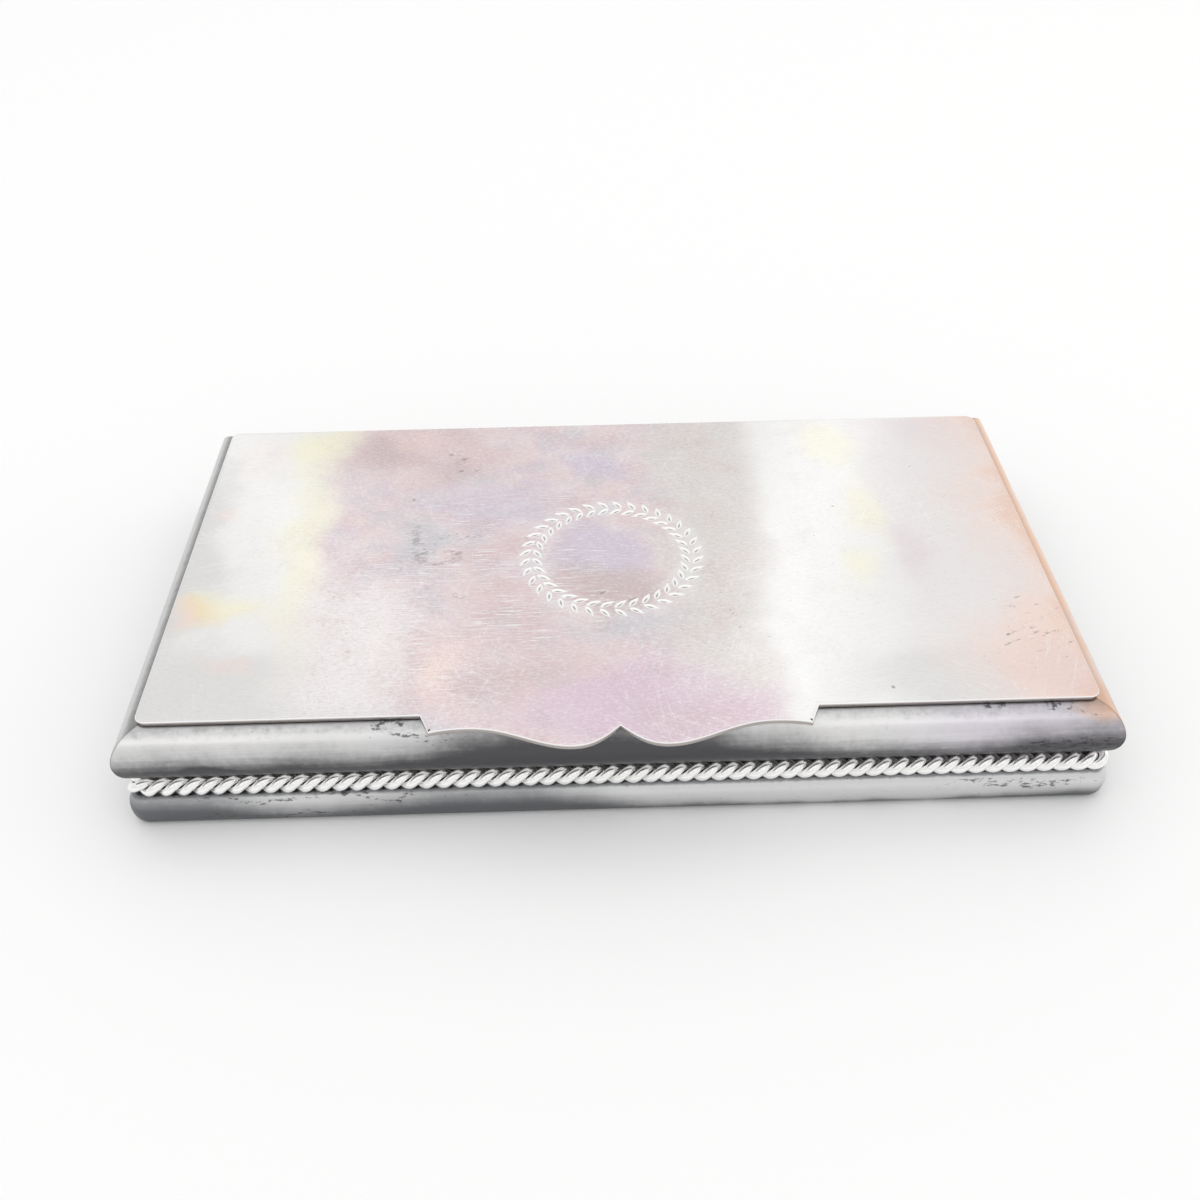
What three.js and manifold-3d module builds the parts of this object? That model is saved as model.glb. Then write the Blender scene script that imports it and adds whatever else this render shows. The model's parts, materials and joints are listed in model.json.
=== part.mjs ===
// A shallow hinged silver box with a cedar lining, made as a silversmith would build it.
// Millimetres, +Z up. X runs along the box and Y runs back towards the hinge.
// The origin is the centre of the base's underside.
import * as THREE from "three";
import { mergeVertices } from "three/addons/utils/BufferGeometryUtils.js";
import Module from "manifold-3d";

// Lid plate, cut from one flat sheet
const LID_LENGTH = 165;
const LID_DEPTH = 89;
const LID_THICKNESS = 0.9;
const LID_CORNER_RADIUS = 2;

// Thumb tab: two lobes beside a central cusp, with hollow shoulders and a nib at each end.
// Each reach is measured forward from the lid's front edge.
const TAB_LENGTH = 68;
const TAB_LOBE_REACH = 8;
const TAB_LOBE_OFFSET = 8.1;
const TAB_CUSP_REACH = 3.6;
const TAB_SHOULDER_REACH = 3.4;
const TAB_NIB_REACH = 4.2;
const TAB_END_RUN = 8.2;
const TAB_END_SLANT = 1.7;

// Handles of the tab's curves, as shares of each curve's own run or rise
const CUSP_HANDLE_RUN = 1 / 3;
const CUSP_HANDLE_RISE = 0.6;
const LOBE_HANDLE = 0.57;
const WAIST_HANDLE = 1 / 3;
const SHOULDER_HANDLE = 0.6;
const NIB_HANDLE = 0.5;

// Convex moulding: a formed hollow strip with a ledge that the lid rests on
const MOULDING_HEIGHT = 11.4;
const MOULDING_BULGE = 5;
const MOULDING_OVERHANG = 4.2;
const MOULDING_SHEET = 1;
const LEDGE_WIDTH = 2;

// Sheet body
const WALL_SHEET = 0.9;
const BASE_SHEET = 0.9;

// Foot band: a formed strip with a shelf above, a bulging face and a lip below
const FOOT_HEIGHT = 6.6;
const FOOT_OVERHANG = 4.4;
const FOOT_BULGE = 1.6;
const FOOT_SHEET = 0.8;
const FOOT_LIP = 0.8;
const FOOT_CORNER_RADIUS = 3.2;

// Rope: two round wires twisted together
const STRAND_DIAMETER = 1.7;
const ROPE_LEAD = 6;
const ROPE_OVERHANG = 4.2;
const ROPE_CORNER_RADIUS = 2;
const ROPE_HEADROOM = 0.6;

// Cedar lining
const LINING_BOARD = 2.8;
const LINING_FLOOR = 2.4;
const DIVIDER_BOARD = 3;
const DIVIDER_GROOVE = 1;
const DIVIDER_DROP = 1.5;
const CEDAR_ROUGHNESS = 0.65;

// Hinge, lying in a channel under the lid's back edge
const HINGE_INSET = 7.5;
const KNUCKLE_COUNT = 9;
const KNUCKLE_DIAMETER = 3;
const PIN_DIAMETER = 1.4;
const HINGE_SHEET = 0.7;
const CHANNEL_INNER_LIP_DEGREES = 172;
const CHANNEL_OUTER_LIP_DEGREES = 340;

// Wire frame under the lid
const RIM_WIDTH = 1;
const RIM_DROP = 1;
const RIM_CORNER_RADIUS = 1.5;

// Clearances
const SEAM = 0.1;
const MITRE_SEAM = 0.05;
const STRAND_GAP = 0.05;
const ROPE_BUTT_GAP = 0.3;
const LINING_PLAY = 0.2;
const CHANNEL_PLAY = 0.3;
const RIM_PLAY = 0.5;
const RIM_HEADROOM = 0.2;
const KNUCKLE_PLAY = 0.2;
const HINGE_PLAY = 0.1;
const PIN_PLAY = 0.05;
const LIP_PLAY_DEGREES = 4;

// Facets
const CURVE_STEPS = 8;
const FOOT_STEPS = 4;
const CORNER_STEPS = 4;
const HINGE_SIDES = 12;
const STRAND_SIDES = 5;
const STRAND_STEPS_PER_TURN = 6;
const WELD_TOLERANCE = 1e-5;

// Offsets are measured outward from the lid's outline
const halfLength = LID_LENGTH / 2;
const halfDepth = LID_DEPTH / 2;
const bulgeBack = MOULDING_OVERHANG - MOULDING_BULGE;
const wallInside = bulgeBack - LEDGE_WIDTH;
const wallOutside = wallInside + WALL_SHEET;
const liningOutside = wallInside - LINING_PLAY;
const liningInside = liningOutside - LINING_BOARD;
const footBulgeBack = FOOT_OVERHANG - FOOT_BULGE;
const footLipEnd = footBulgeBack - FOOT_LIP;
const footCornerCentre = FOOT_OVERHANG - FOOT_CORNER_RADIUS;
const strandRadius = STRAND_DIAMETER / 2;
const strandOffset = strandRadius + STRAND_GAP / 2;
const ropeRadius = strandOffset + strandRadius;
const ropeOffset = ROPE_OVERHANG - ropeRadius;

// Heights, from the table up
const ropeHeight = FOOT_HEIGHT + SEAM + ropeRadius;
const halfMoulding = MOULDING_HEIGHT / 2;
const mouldingHeight = ropeHeight + ropeRadius + ROPE_HEADROOM + mouldingHalfHeightAt(ropeOffset);
const ledgeHeight = mouldingHeight + halfMoulding;
const lidUnderside = ledgeHeight + SEAM;
const wallTop = ledgeHeight - MOULDING_SHEET - SEAM;
const rimBottom = lidUnderside - SEAM - RIM_DROP;
const liningTop = rimBottom - RIM_HEADROOM;
const floorBottom = BASE_SHEET + SEAM;
const boardBottom = floorBottom + LINING_FLOOR + SEAM;

// Hinge axis and radii
const knuckleRadius = KNUCKLE_DIAMETER / 2;
const channelInside = knuckleRadius + HINGE_PLAY;
const channelOutside = channelInside + HINGE_SHEET;
const hingeLength = LID_LENGTH - 2 * HINGE_INSET;
const hingeY = halfDepth + wallOutside + CHANNEL_PLAY + channelOutside;
const hingeZ = lidUnderside - SEAM - knuckleRadius;

const wasm = await Module();
wasm.setup();

// Half the moulding's height at an offset, from the ellipse that its bulge follows
function mouldingHalfHeightAt(offset) {
  const share = (offset - bulgeBack) / MOULDING_BULGE;
  return halfMoulding * Math.sqrt(Math.max(0, 1 - share * share));
}

function silver(colour, roughness) {
  return new THREE.MeshStandardMaterial({ color: colour, roughness, metalness: 1 });
}

function cedar(colour) {
  return new THREE.MeshStandardMaterial({ color: colour, roughness: CEDAR_ROUGHNESS, metalness: 0 });
}

// Welds a geometry's corners together and drops the faces that have closed up
function weld(geometry) {
  const bare = new THREE.BufferGeometry();
  bare.setAttribute("position", geometry.getAttribute("position"));
  bare.setIndex(geometry.getIndex());
  const welded = mergeVertices(bare, WELD_TOLERANCE);
  const index = welded.getIndex().array;
  const kept = [];
  for (let i = 0; i < index.length; i += 3) {
    const [a, b, c] = index.subarray(i, i + 3);
    if (a !== b && b !== c && c !== a) kept.push(a, b, c);
  }
  welded.setIndex(kept);
  return faceOutward(welded);
}

// Turns the faces over if they enclose a negative volume
function faceOutward(geometry) {
  const position = geometry.getAttribute("position");
  const index = Array.from(geometry.getIndex().array);
  const corners = [new THREE.Vector3(), new THREE.Vector3(), new THREE.Vector3()];
  let volume = 0;
  for (let i = 0; i < index.length; i += 3) {
    corners.forEach((corner, k) => corner.fromBufferAttribute(position, index[i + k]));
    volume += corners[0].dot(corners[1].cross(corners[2])) / 6;
  }
  if (volume < 0) index.reverse();
  geometry.setIndex(index);
  return geometry;
}

function toSolid(geometry) {
  const welded = weld(geometry);
  return new wasm.Manifold(new wasm.Mesh({
    numProp: 3,
    vertProperties: new Float32Array(welded.getAttribute("position").array),
    triVerts: new Uint32Array(welded.getIndex().array),
  }));
}

function cut(geometry, tool) {
  const mesh = toSolid(geometry).subtract(toSolid(tool)).getMesh();
  const result = new THREE.BufferGeometry();
  result.setAttribute("position", new THREE.BufferAttribute(mesh.vertProperties, 3));
  result.setIndex(Array.from(mesh.triVerts));
  return result;
}

// Skins a row of closed rings. An open row is capped with the section's own triangles.
function loft(rings, section, closed) {
  const count = section.length;
  const points = rings.flat();
  const faces = [];
  const spans = closed ? rings.length : rings.length - 1;
  for (let r = 0; r < spans; r += 1) {
    const here = r * count;
    const next = ((r + 1) % rings.length) * count;
    for (let k = 0; k < count; k += 1) {
      const ahead = (k + 1) % count;
      faces.push(here + k, here + ahead, next + ahead);
      faces.push(here + k, next + ahead, next + k);
    }
  }
  if (!closed) {
    const last = (rings.length - 1) * count;
    for (const [a, b, c] of THREE.ShapeUtils.triangulateShape(section, [])) {
      faces.push(c, b, a);
      faces.push(last + a, last + b, last + c);
    }
  }
  const geometry = new THREE.BufferGeometry().setFromPoints(points);
  geometry.setIndex(faces);
  return weld(geometry);
}

// Points of a path, without the closing repeat of the first one
function openPoints(path, steps) {
  const points = path.getPoints(steps);
  const closes = points[0].distanceTo(points[points.length - 1]) < WELD_TOLERANCE;
  return closes ? points.slice(0, -1) : points;
}

// Carries a section (offset, height) round the box. Corners are arcs about the offset given,
// and square for the points that lie inside it.
function ringRound(section, cornerCentre) {
  const quarters = [[1, 1], [-1, 1], [-1, -1], [1, -1]];
  const rings = [];
  quarters.forEach(([sideX, sideY], quarter) => {
    for (let step = 0; step <= CORNER_STEPS; step += 1) {
      const angle = (quarter + step / CORNER_STEPS) * Math.PI / 2;
      rings.push(section.map(({ x: offset, y: height }) => {
        const radius = Math.max(0, offset - cornerCentre);
        const square = Math.min(offset, cornerCentre);
        const x = sideX * (halfLength + square) + radius * Math.cos(angle);
        const y = sideY * (halfDepth + square) + radius * Math.sin(angle);
        return new THREE.Vector3(x, y, height);
      }));
    }
  });
  return loft(rings, section, true);
}

// Extrudes a shape drawn in (y, z) along X, centred on the YZ plane
function alongX(shape, length, steps = CURVE_STEPS) {
  const geometry = new THREE.ExtrudeGeometry(shape, {
    depth: length, bevelEnabled: false, curveSegments: steps,
  });
  geometry.translate(0, 0, -length / 2);
  geometry.applyMatrix4(new THREE.Matrix4().set(0, 0, 1, 0, 1, 0, 0, 0, 0, 1, 0, 0, 0, 0, 0, 1));
  return geometry;
}

function block(lowX, highX, lowY, highY, lowZ, highZ) {
  const geometry = new THREE.BoxGeometry(highX - lowX, highY - lowY, highZ - lowZ);
  return geometry.translate((lowX + highX) / 2, (lowY + highY) / 2, (lowZ + highZ) / 2);
}

function roundedRectangle(halfX, halfY, radius) {
  const shape = new THREE.Shape();
  shape.absarc(halfX - radius, halfY - radius, radius, 0, Math.PI / 2);
  shape.absarc(radius - halfX, halfY - radius, radius, Math.PI / 2, Math.PI);
  shape.absarc(radius - halfX, radius - halfY, radius, Math.PI, 1.5 * Math.PI);
  shape.absarc(halfX - radius, radius - halfY, radius, 1.5 * Math.PI, 2 * Math.PI);
  shape.closePath();
  return shape;
}

function upright(shape, bottom, height) {
  const geometry = new THREE.ExtrudeGeometry(shape, {
    depth: height, bevelEnabled: false, curveSegments: CURVE_STEPS,
  });
  return geometry.translate(0, 0, bottom);
}

function piece(name, geometry, material) {
  const mesh = new THREE.Mesh(weld(geometry), material);
  mesh.name = name;
  return mesh;
}

// Base plate, set inside the foot band's lip
function basePlate() {
  const edge = footLipEnd - SEAM;
  const corner = Math.max(SEAM, edge - footCornerCentre);
  const outline = roundedRectangle(halfLength + edge, halfDepth + edge, corner);
  return piece("base_plate", upright(outline, 0, BASE_SHEET), silver("#b8b3ae", 0.35));
}

// Sheet wall, standing on the base plate under the ledge
function bodyWall() {
  const bottom = BASE_SHEET + SEAM;
  const section = [
    new THREE.Vector2(wallInside, bottom),
    new THREE.Vector2(wallOutside, bottom),
    new THREE.Vector2(wallOutside, wallTop),
    new THREE.Vector2(wallInside, wallTop),
  ];
  return piece("body_wall", ringRound(section, wallInside), silver("#c2bdb8", 0.3));
}

// Foot band: shelf, half-elliptical face and lip, at one sheet thickness throughout
function footBand() {
  const middle = FOOT_HEIGHT / 2;
  const shelfEnd = wallOutside + SEAM;
  const innerBulge = FOOT_BULGE - FOOT_SHEET;
  const innerHalf = middle - FOOT_SHEET;
  const path = new THREE.Path();
  path.moveTo(footLipEnd, FOOT_SHEET);
  path.lineTo(footLipEnd, 0);
  path.absellipse(footBulgeBack, middle, FOOT_BULGE, middle, -Math.PI / 2, Math.PI / 2);
  path.lineTo(shelfEnd, FOOT_HEIGHT);
  path.lineTo(shelfEnd, FOOT_HEIGHT - FOOT_SHEET);
  path.absellipse(footBulgeBack, middle, innerBulge, innerHalf, Math.PI / 2, -Math.PI / 2, true);
  path.closePath();
  const ring = ringRound(openPoints(path, FOOT_STEPS), footCornerCentre);
  return piece("foot_band", ring, silver("#aaa59f", 0.32));
}

// Moulding section in (offset, height): ledge, half-elliptical bulge and a return to the wall
function mouldingSection() {
  const returnEnd = wallOutside + SEAM;
  const lower = mouldingHeight - halfMoulding;
  const innerBulge = MOULDING_BULGE - MOULDING_SHEET;
  const innerHalf = halfMoulding - MOULDING_SHEET;
  const path = new THREE.Path();
  path.moveTo(returnEnd, lower + MOULDING_SHEET);
  path.lineTo(returnEnd, lower);
  path.absellipse(bulgeBack, mouldingHeight, MOULDING_BULGE, halfMoulding, -Math.PI / 2, Math.PI / 2);
  path.lineTo(wallInside, ledgeHeight);
  path.lineTo(wallInside, ledgeHeight - MOULDING_SHEET);
  path.absellipse(bulgeBack, mouldingHeight, innerBulge, innerHalf, Math.PI / 2, -Math.PI / 2, true);
  path.closePath();
  return openPoints(path, CURVE_STEPS);
}

// A length of moulding on the front side, mitred at both ends, for half lengths along and across
function mitredLength(along, across) {
  const section = mouldingSection();
  const end = (side) => section.map(({ x: offset, y: height }) => (
    new THREE.Vector3(side * (along + offset - MITRE_SEAM), -across - offset, height)
  ));
  return loft([end(-1), end(1)], section, false);
}

function mouldings() {
  const front = mitredLength(halfLength, halfDepth);
  const back = mitredLength(halfLength, halfDepth).rotateZ(Math.PI);
  const left = mitredLength(halfDepth, halfLength).rotateZ(-Math.PI / 2);
  const right = mitredLength(halfDepth, halfLength).rotateZ(Math.PI / 2);
  const bed = channelOutside + SEAM;
  const bedLength = hingeLength + 2 * SEAM;
  const groove = new THREE.CylinderGeometry(bed, bed, bedLength, 2 * HINGE_SIDES);
  groove.rotateZ(Math.PI / 2).translate(0, hingeY, hingeZ);
  return [
    piece("moulding_front", front, silver("#c9c4c0", 0.26)),
    piece("moulding_back", cut(back, groove), silver("#c9c4c0", 0.26)),
    piece("moulding_left", left, silver("#c4c0bd", 0.26)),
    piece("moulding_right", right, silver("#cfc6be", 0.26)),
  ];
}

// A strand of the rope: it circles the rope's own centre line as that runs round the box,
// and its section keeps a flat towards the centre line.
class StrandCurve extends THREE.Curve {
  constructor(route, turns, phase) {
    super();
    this.route = route;
    this.turns = turns;
    this.phase = phase;
    this.share = 1 - ROPE_BUTT_GAP / route.getLength();
  }

  radial(t) {
    const angle = this.phase + 2 * Math.PI * this.turns * t;
    const tangent = this.route.getTangent(t * this.share);
    const outward = new THREE.Vector3(tangent.y, -tangent.x, 0);
    return outward.multiplyScalar(Math.cos(angle)).setZ(Math.sin(angle));
  }

  getPoint(t) {
    const centre = this.route.getPoint(t * this.share);
    const point = new THREE.Vector3(centre.x, centre.y, ropeHeight);
    return point.addScaledVector(this.radial(t), strandOffset);
  }

  getSpacedPoints(steps) {
    return Array.from({ length: steps + 1 }, (_, i) => this.getPoint(i / steps));
  }

  computeFrenetFrames(steps) {
    const frames = { tangents: [], normals: [], binormals: [] };
    for (let i = 0; i <= steps; i += 1) {
      const tangent = this.getTangent(i / steps);
      const normal = this.radial(i / steps);
      normal.addScaledVector(tangent, -normal.dot(tangent)).normalize();
      frames.tangents.push(tangent);
      frames.normals.push(normal);
      frames.binormals.push(new THREE.Vector3().crossVectors(tangent, normal));
    }
    return frames;
  }
}

// Centre line of the rope, from the middle of the back and round by the left, front and right
function ropeRoute() {
  const halfX = halfLength + ropeOffset;
  const halfY = halfDepth + ropeOffset;
  const radius = ROPE_CORNER_RADIUS;
  const route = new THREE.Path();
  route.moveTo(0, halfY);
  route.lineTo(radius - halfX, halfY);
  route.absarc(radius - halfX, halfY - radius, radius, 0.5 * Math.PI, Math.PI);
  route.absarc(radius - halfX, radius - halfY, radius, Math.PI, 1.5 * Math.PI);
  route.absarc(halfX - radius, radius - halfY, radius, 1.5 * Math.PI, 2 * Math.PI);
  route.absarc(halfX - radius, halfY - radius, radius, 0, 0.5 * Math.PI);
  route.lineTo(0, halfY);
  return route;
}

function rope() {
  const route = ropeRoute();
  const turns = Math.round(route.getLength() / ROPE_LEAD);
  const section = new THREE.Shape(Array.from({ length: STRAND_SIDES }, (_, k) => {
    const angle = 2 * Math.PI * k / STRAND_SIDES;
    return new THREE.Vector2(Math.cos(angle), Math.sin(angle)).multiplyScalar(strandRadius);
  }));
  return ["a", "b"].map((letter, k) => {
    const geometry = new THREE.ExtrudeGeometry(section, {
      steps: turns * STRAND_STEPS_PER_TURN,
      extrudePath: new StrandCurve(route, turns, k * Math.PI),
    });
    return piece(`rope_strand_${letter}`, geometry, silver("#d4d0cb", 0.24));
  });
}

// Cedar boards. The front and back boards run the full length and are grooved for the divider.
function grooveBoard(side) {
  const outer = halfDepth + liningOutside;
  const inner = halfDepth + liningInside;
  const half = halfLength + liningOutside;
  const slot = DIVIDER_BOARD / 2 + SEAM;
  const bottom = inner + DIVIDER_GROOVE;
  const corners = [
    [-half, outer], [half, outer], [half, inner], [slot, inner],
    [slot, bottom], [-slot, bottom], [-slot, inner], [-half, inner],
  ];
  const outline = new THREE.Shape(corners.map(([x, y]) => new THREE.Vector2(x, side * y)));
  return upright(outline, boardBottom, liningTop - boardBottom);
}

function endBoard(side) {
  const outer = halfLength + liningOutside;
  const inner = halfLength + liningInside;
  const half = halfDepth + liningInside - SEAM;
  const low = Math.min(side * outer, side * inner);
  return block(low, low + LINING_BOARD, -half, half, boardBottom, liningTop);
}

function lining() {
  const floorX = halfLength + liningOutside;
  const floorY = halfDepth + liningOutside;
  const floor = block(-floorX, floorX, -floorY, floorY, floorBottom, floorBottom + LINING_FLOOR);
  const reach = halfDepth + liningInside + DIVIDER_GROOVE - SEAM;
  const half = DIVIDER_BOARD / 2;
  const divider = block(-half, half, -reach, reach, boardBottom, liningTop - DIVIDER_DROP);
  return [
    piece("lining_floor", floor, cedar("#9c6238")),
    piece("lining_front", grooveBoard(-1), cedar("#a86b3e")),
    piece("lining_back", grooveBoard(1), cedar("#a86b3e")),
    piece("lining_left", endBoard(-1), cedar("#a4673b")),
    piece("lining_right", endBoard(1), cedar("#a4673b")),
    piece("divider", divider, cedar("#ad7043")),
  ];
}

// A sector of a tube about the hinge axis, as a shape in (y, z)
function hingeSector(startDegrees, endDegrees) {
  const start = THREE.MathUtils.degToRad(startDegrees);
  const end = THREE.MathUtils.degToRad(endDegrees);
  const shape = new THREE.Shape();
  shape.absarc(hingeY, hingeZ, channelOutside, start, end, false);
  shape.absarc(hingeY, hingeZ, channelInside, end, start, true);
  shape.closePath();
  return shape;
}

function hingeChannel() {
  const trough = alongX(hingeSector(CHANNEL_INNER_LIP_DEGREES, CHANNEL_OUTER_LIP_DEGREES), hingeLength);
  return piece("hinge_channel", trough, silver("#b9b4af", 0.36));
}

// Bearer: the part of the same tube that lies above the channel's lip and below the lid
function hingeBearer() {
  const headroom = knuckleRadius;
  const innerStart = Math.PI - Math.asin(headroom / channelInside);
  const outerStart = Math.PI - Math.asin(headroom / channelOutside);
  const end = THREE.MathUtils.degToRad(CHANNEL_INNER_LIP_DEGREES - LIP_PLAY_DEGREES);
  const shape = new THREE.Shape();
  shape.absarc(hingeY, hingeZ, channelOutside, outerStart, end, false);
  shape.absarc(hingeY, hingeZ, channelInside, end, innerStart, true);
  shape.closePath();
  return piece("hinge_bearer", alongX(shape, hingeLength), silver("#bfbab5", 0.34));
}

// Knuckles alternate between the body and the lid, beginning and ending with the body
function knuckle(position) {
  const pitch = (hingeLength + KNUCKLE_PLAY) / KNUCKLE_COUNT;
  const half = (pitch - KNUCKLE_PLAY) / 2;
  const bore = PIN_DIAMETER / 2 + PIN_PLAY;
  const profile = [
    new THREE.Vector2(bore, -half),
    new THREE.Vector2(knuckleRadius, -half),
    new THREE.Vector2(knuckleRadius, half),
    new THREE.Vector2(bore, half),
    new THREE.Vector2(bore, -half),
  ];
  const tube = new THREE.LatheGeometry(profile, HINGE_SIDES);
  const along = (position - (KNUCKLE_COUNT - 1) / 2) * pitch;
  const owner = position % 2 === 0 ? "body" : "lid";
  const name = `hinge_knuckle_${owner}_${Math.floor(position / 2) + 1}`;
  tube.rotateZ(Math.PI / 2).translate(along, hingeY, hingeZ);
  return piece(name, tube, silver("#c4bfba", 0.3));
}

function hingePin() {
  const radius = PIN_DIAMETER / 2;
  const wire = new THREE.CylinderGeometry(radius, radius, hingeLength, HINGE_SIDES);
  wire.rotateZ(Math.PI / 2).translate(0, hingeY, hingeZ);
  return piece("hinge_pin", wire, silver("#a9a5a1", 0.4));
}

// Outline of the lid with its tab: the right half is drawn and then mirrored
function lidOutline() {
  const front = -halfDepth;
  const end = TAB_LENGTH / 2;
  const shoulder = end - TAB_END_RUN;
  const lobeRise = TAB_LOBE_REACH - TAB_CUSP_REACH;
  const waist = shoulder - TAB_LOBE_OFFSET;
  const edge = LID_CORNER_RADIUS;
  const half = new THREE.Path();
  half.moveTo(0, front - TAB_CUSP_REACH);
  half.bezierCurveTo(
    TAB_LOBE_OFFSET * CUSP_HANDLE_RUN, front - TAB_CUSP_REACH - CUSP_HANDLE_RISE * lobeRise,
    TAB_LOBE_OFFSET * LOBE_HANDLE, front - TAB_LOBE_REACH,
    TAB_LOBE_OFFSET, front - TAB_LOBE_REACH,
  );
  half.bezierCurveTo(
    TAB_LOBE_OFFSET + WAIST_HANDLE * waist, front - TAB_LOBE_REACH,
    TAB_LOBE_OFFSET + SHOULDER_HANDLE * waist, front - TAB_SHOULDER_REACH,
    shoulder, front - TAB_SHOULDER_REACH,
  );
  half.quadraticCurveTo(
    shoulder + NIB_HANDLE * TAB_END_RUN, front - TAB_SHOULDER_REACH,
    end - TAB_END_SLANT, front - TAB_NIB_REACH,
  );
  half.lineTo(end, front);
  half.absarc(halfLength - edge, front + edge, edge, -Math.PI / 2, 0);
  half.absarc(halfLength - edge, halfDepth - edge, edge, 0, Math.PI / 2);
  const right = half.getPoints(CURVE_STEPS);
  const left = right.slice(1).reverse().map(({ x, y }) => new THREE.Vector2(-x, y));
  return new THREE.Shape([...right, ...left]);
}

function lidPlate() {
  const plate = upright(lidOutline(), lidUnderside, LID_THICKNESS);
  return piece("lid_plate", plate, silver("#dfdad8", 0.2));
}

// Wire frame soldered under the lid, just inside the ledge
function lidRim() {
  const outside = wallInside - RIM_PLAY;
  const inside = outside - RIM_WIDTH;
  const frame = roundedRectangle(halfLength + outside, halfDepth + outside, RIM_CORNER_RADIUS);
  const innerCorner = Math.max(SEAM, RIM_CORNER_RADIUS - RIM_WIDTH);
  frame.holes.push(roundedRectangle(halfLength + inside, halfDepth + inside, innerCorner));
  return piece("lid_rim", upright(frame, rimBottom, RIM_DROP), silver("#c8c3be", 0.3));
}

const knuckles = Array.from({ length: KNUCKLE_COUNT }, (_, position) => knuckle(position));
const bodyKnuckles = knuckles.filter((_, position) => position % 2 === 0);
const lidKnuckles = knuckles.filter((_, position) => position % 2 === 1);

const body = new THREE.Group();
body.add(basePlate(), bodyWall(), footBand(), ...mouldings(), ...rope(), ...lining());
body.add(hingeChannel(), hingePin(), ...bodyKnuckles);

const lid = new THREE.Group();
lid.add(lidPlate(), lidRim(), hingeBearer(), ...lidKnuckles);

const box = new THREE.Group();
box.add(body, lid);

export default box;
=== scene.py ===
"""Dresses a hinged silver box: worn plate, twisted rope border, cedar lining and soft studio light.

Everything is in metres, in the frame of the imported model: X along the box, Y back towards the hinge, Z up.
Offsets are measured outward from the lid's straight outline.
"""

import json
import logging
import math
from dataclasses import dataclass, field, replace
from enum import Enum
from typing import Any, ClassVar, Iterable, Mapping, Sequence

import bmesh
import bpy
from mathutils import Matrix, Quaternion, Vector
from mathutils.geometry import tessellate_polygon


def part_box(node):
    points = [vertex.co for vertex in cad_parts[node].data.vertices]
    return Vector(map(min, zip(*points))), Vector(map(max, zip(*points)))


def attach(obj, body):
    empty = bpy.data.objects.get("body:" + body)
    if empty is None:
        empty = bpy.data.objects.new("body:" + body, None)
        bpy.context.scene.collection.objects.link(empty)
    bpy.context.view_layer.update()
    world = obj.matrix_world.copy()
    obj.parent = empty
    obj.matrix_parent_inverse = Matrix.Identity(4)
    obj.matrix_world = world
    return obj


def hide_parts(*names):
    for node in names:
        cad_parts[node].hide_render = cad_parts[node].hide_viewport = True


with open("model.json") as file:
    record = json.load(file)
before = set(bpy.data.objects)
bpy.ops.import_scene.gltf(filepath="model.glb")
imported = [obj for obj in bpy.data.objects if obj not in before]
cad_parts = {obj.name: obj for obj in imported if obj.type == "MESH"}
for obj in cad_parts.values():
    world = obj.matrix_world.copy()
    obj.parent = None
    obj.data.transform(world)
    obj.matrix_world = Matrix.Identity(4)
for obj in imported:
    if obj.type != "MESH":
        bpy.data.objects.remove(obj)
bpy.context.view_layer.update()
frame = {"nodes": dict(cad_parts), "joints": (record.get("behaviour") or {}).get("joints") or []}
LOG = logging.getLogger("silver_box")

Colour = tuple[float, float, float]
Range = tuple[float, float]
SHARP_ANGLE = math.radians(32)
WELD_REACH = 1e-6
LEAST_MITRE = 0.4
TURN = math.tau
HALF_TURN = math.pi
QUARTER = math.pi / 2


class Body(Enum):
    """The two bodies that the hinge joins."""

    BOX = "box"
    LID = "lid"


class Slot(Enum):
    """The record's material slots, as labels that the finer pieces carry."""

    LID = "silver_lid"
    BORDER = "silver_body"
    ROPE = "silver_rope"
    HINGE = "silver_hinge"


class Side(Enum):
    """A side of the box, as the number of quarter turns that bring the front there."""

    FRONT = 0
    RIGHT = 1
    BACK = 2
    LEFT = 3


class Tint(Enum):
    """What tarnish makes of silver, as the share of light that it throws back."""

    SILVER = (0.88, 0.872, 0.865)
    PINK = (0.8, 0.675, 0.705)
    ROSE = (0.775, 0.6, 0.615)
    MAUVE = (0.77, 0.61, 0.72)
    LILAC = (0.685, 0.615, 0.745)
    BROWN = (0.65, 0.53, 0.53)
    SMOKE = (0.66, 0.66, 0.69)
    ASH = (0.79, 0.782, 0.775)
    CHALK = (0.885, 0.85, 0.843)
    PEWTER = (0.6, 0.595, 0.59)
    OLIVE = (0.76, 0.735, 0.705)
    PEACH = (0.96, 0.77, 0.695)
    COPPER = (0.88, 0.57, 0.4)
    STRAW = (0.97, 0.94, 0.72)
    AMBER = (0.97, 0.8, 0.5)
    INK = (0.06, 0.055, 0.06)


class Grain(Enum):
    """The direction that a board's grain runs in, as the turn from X about Z."""

    ALONG_X = 0.0
    ALONG_Y = QUARTER


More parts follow.
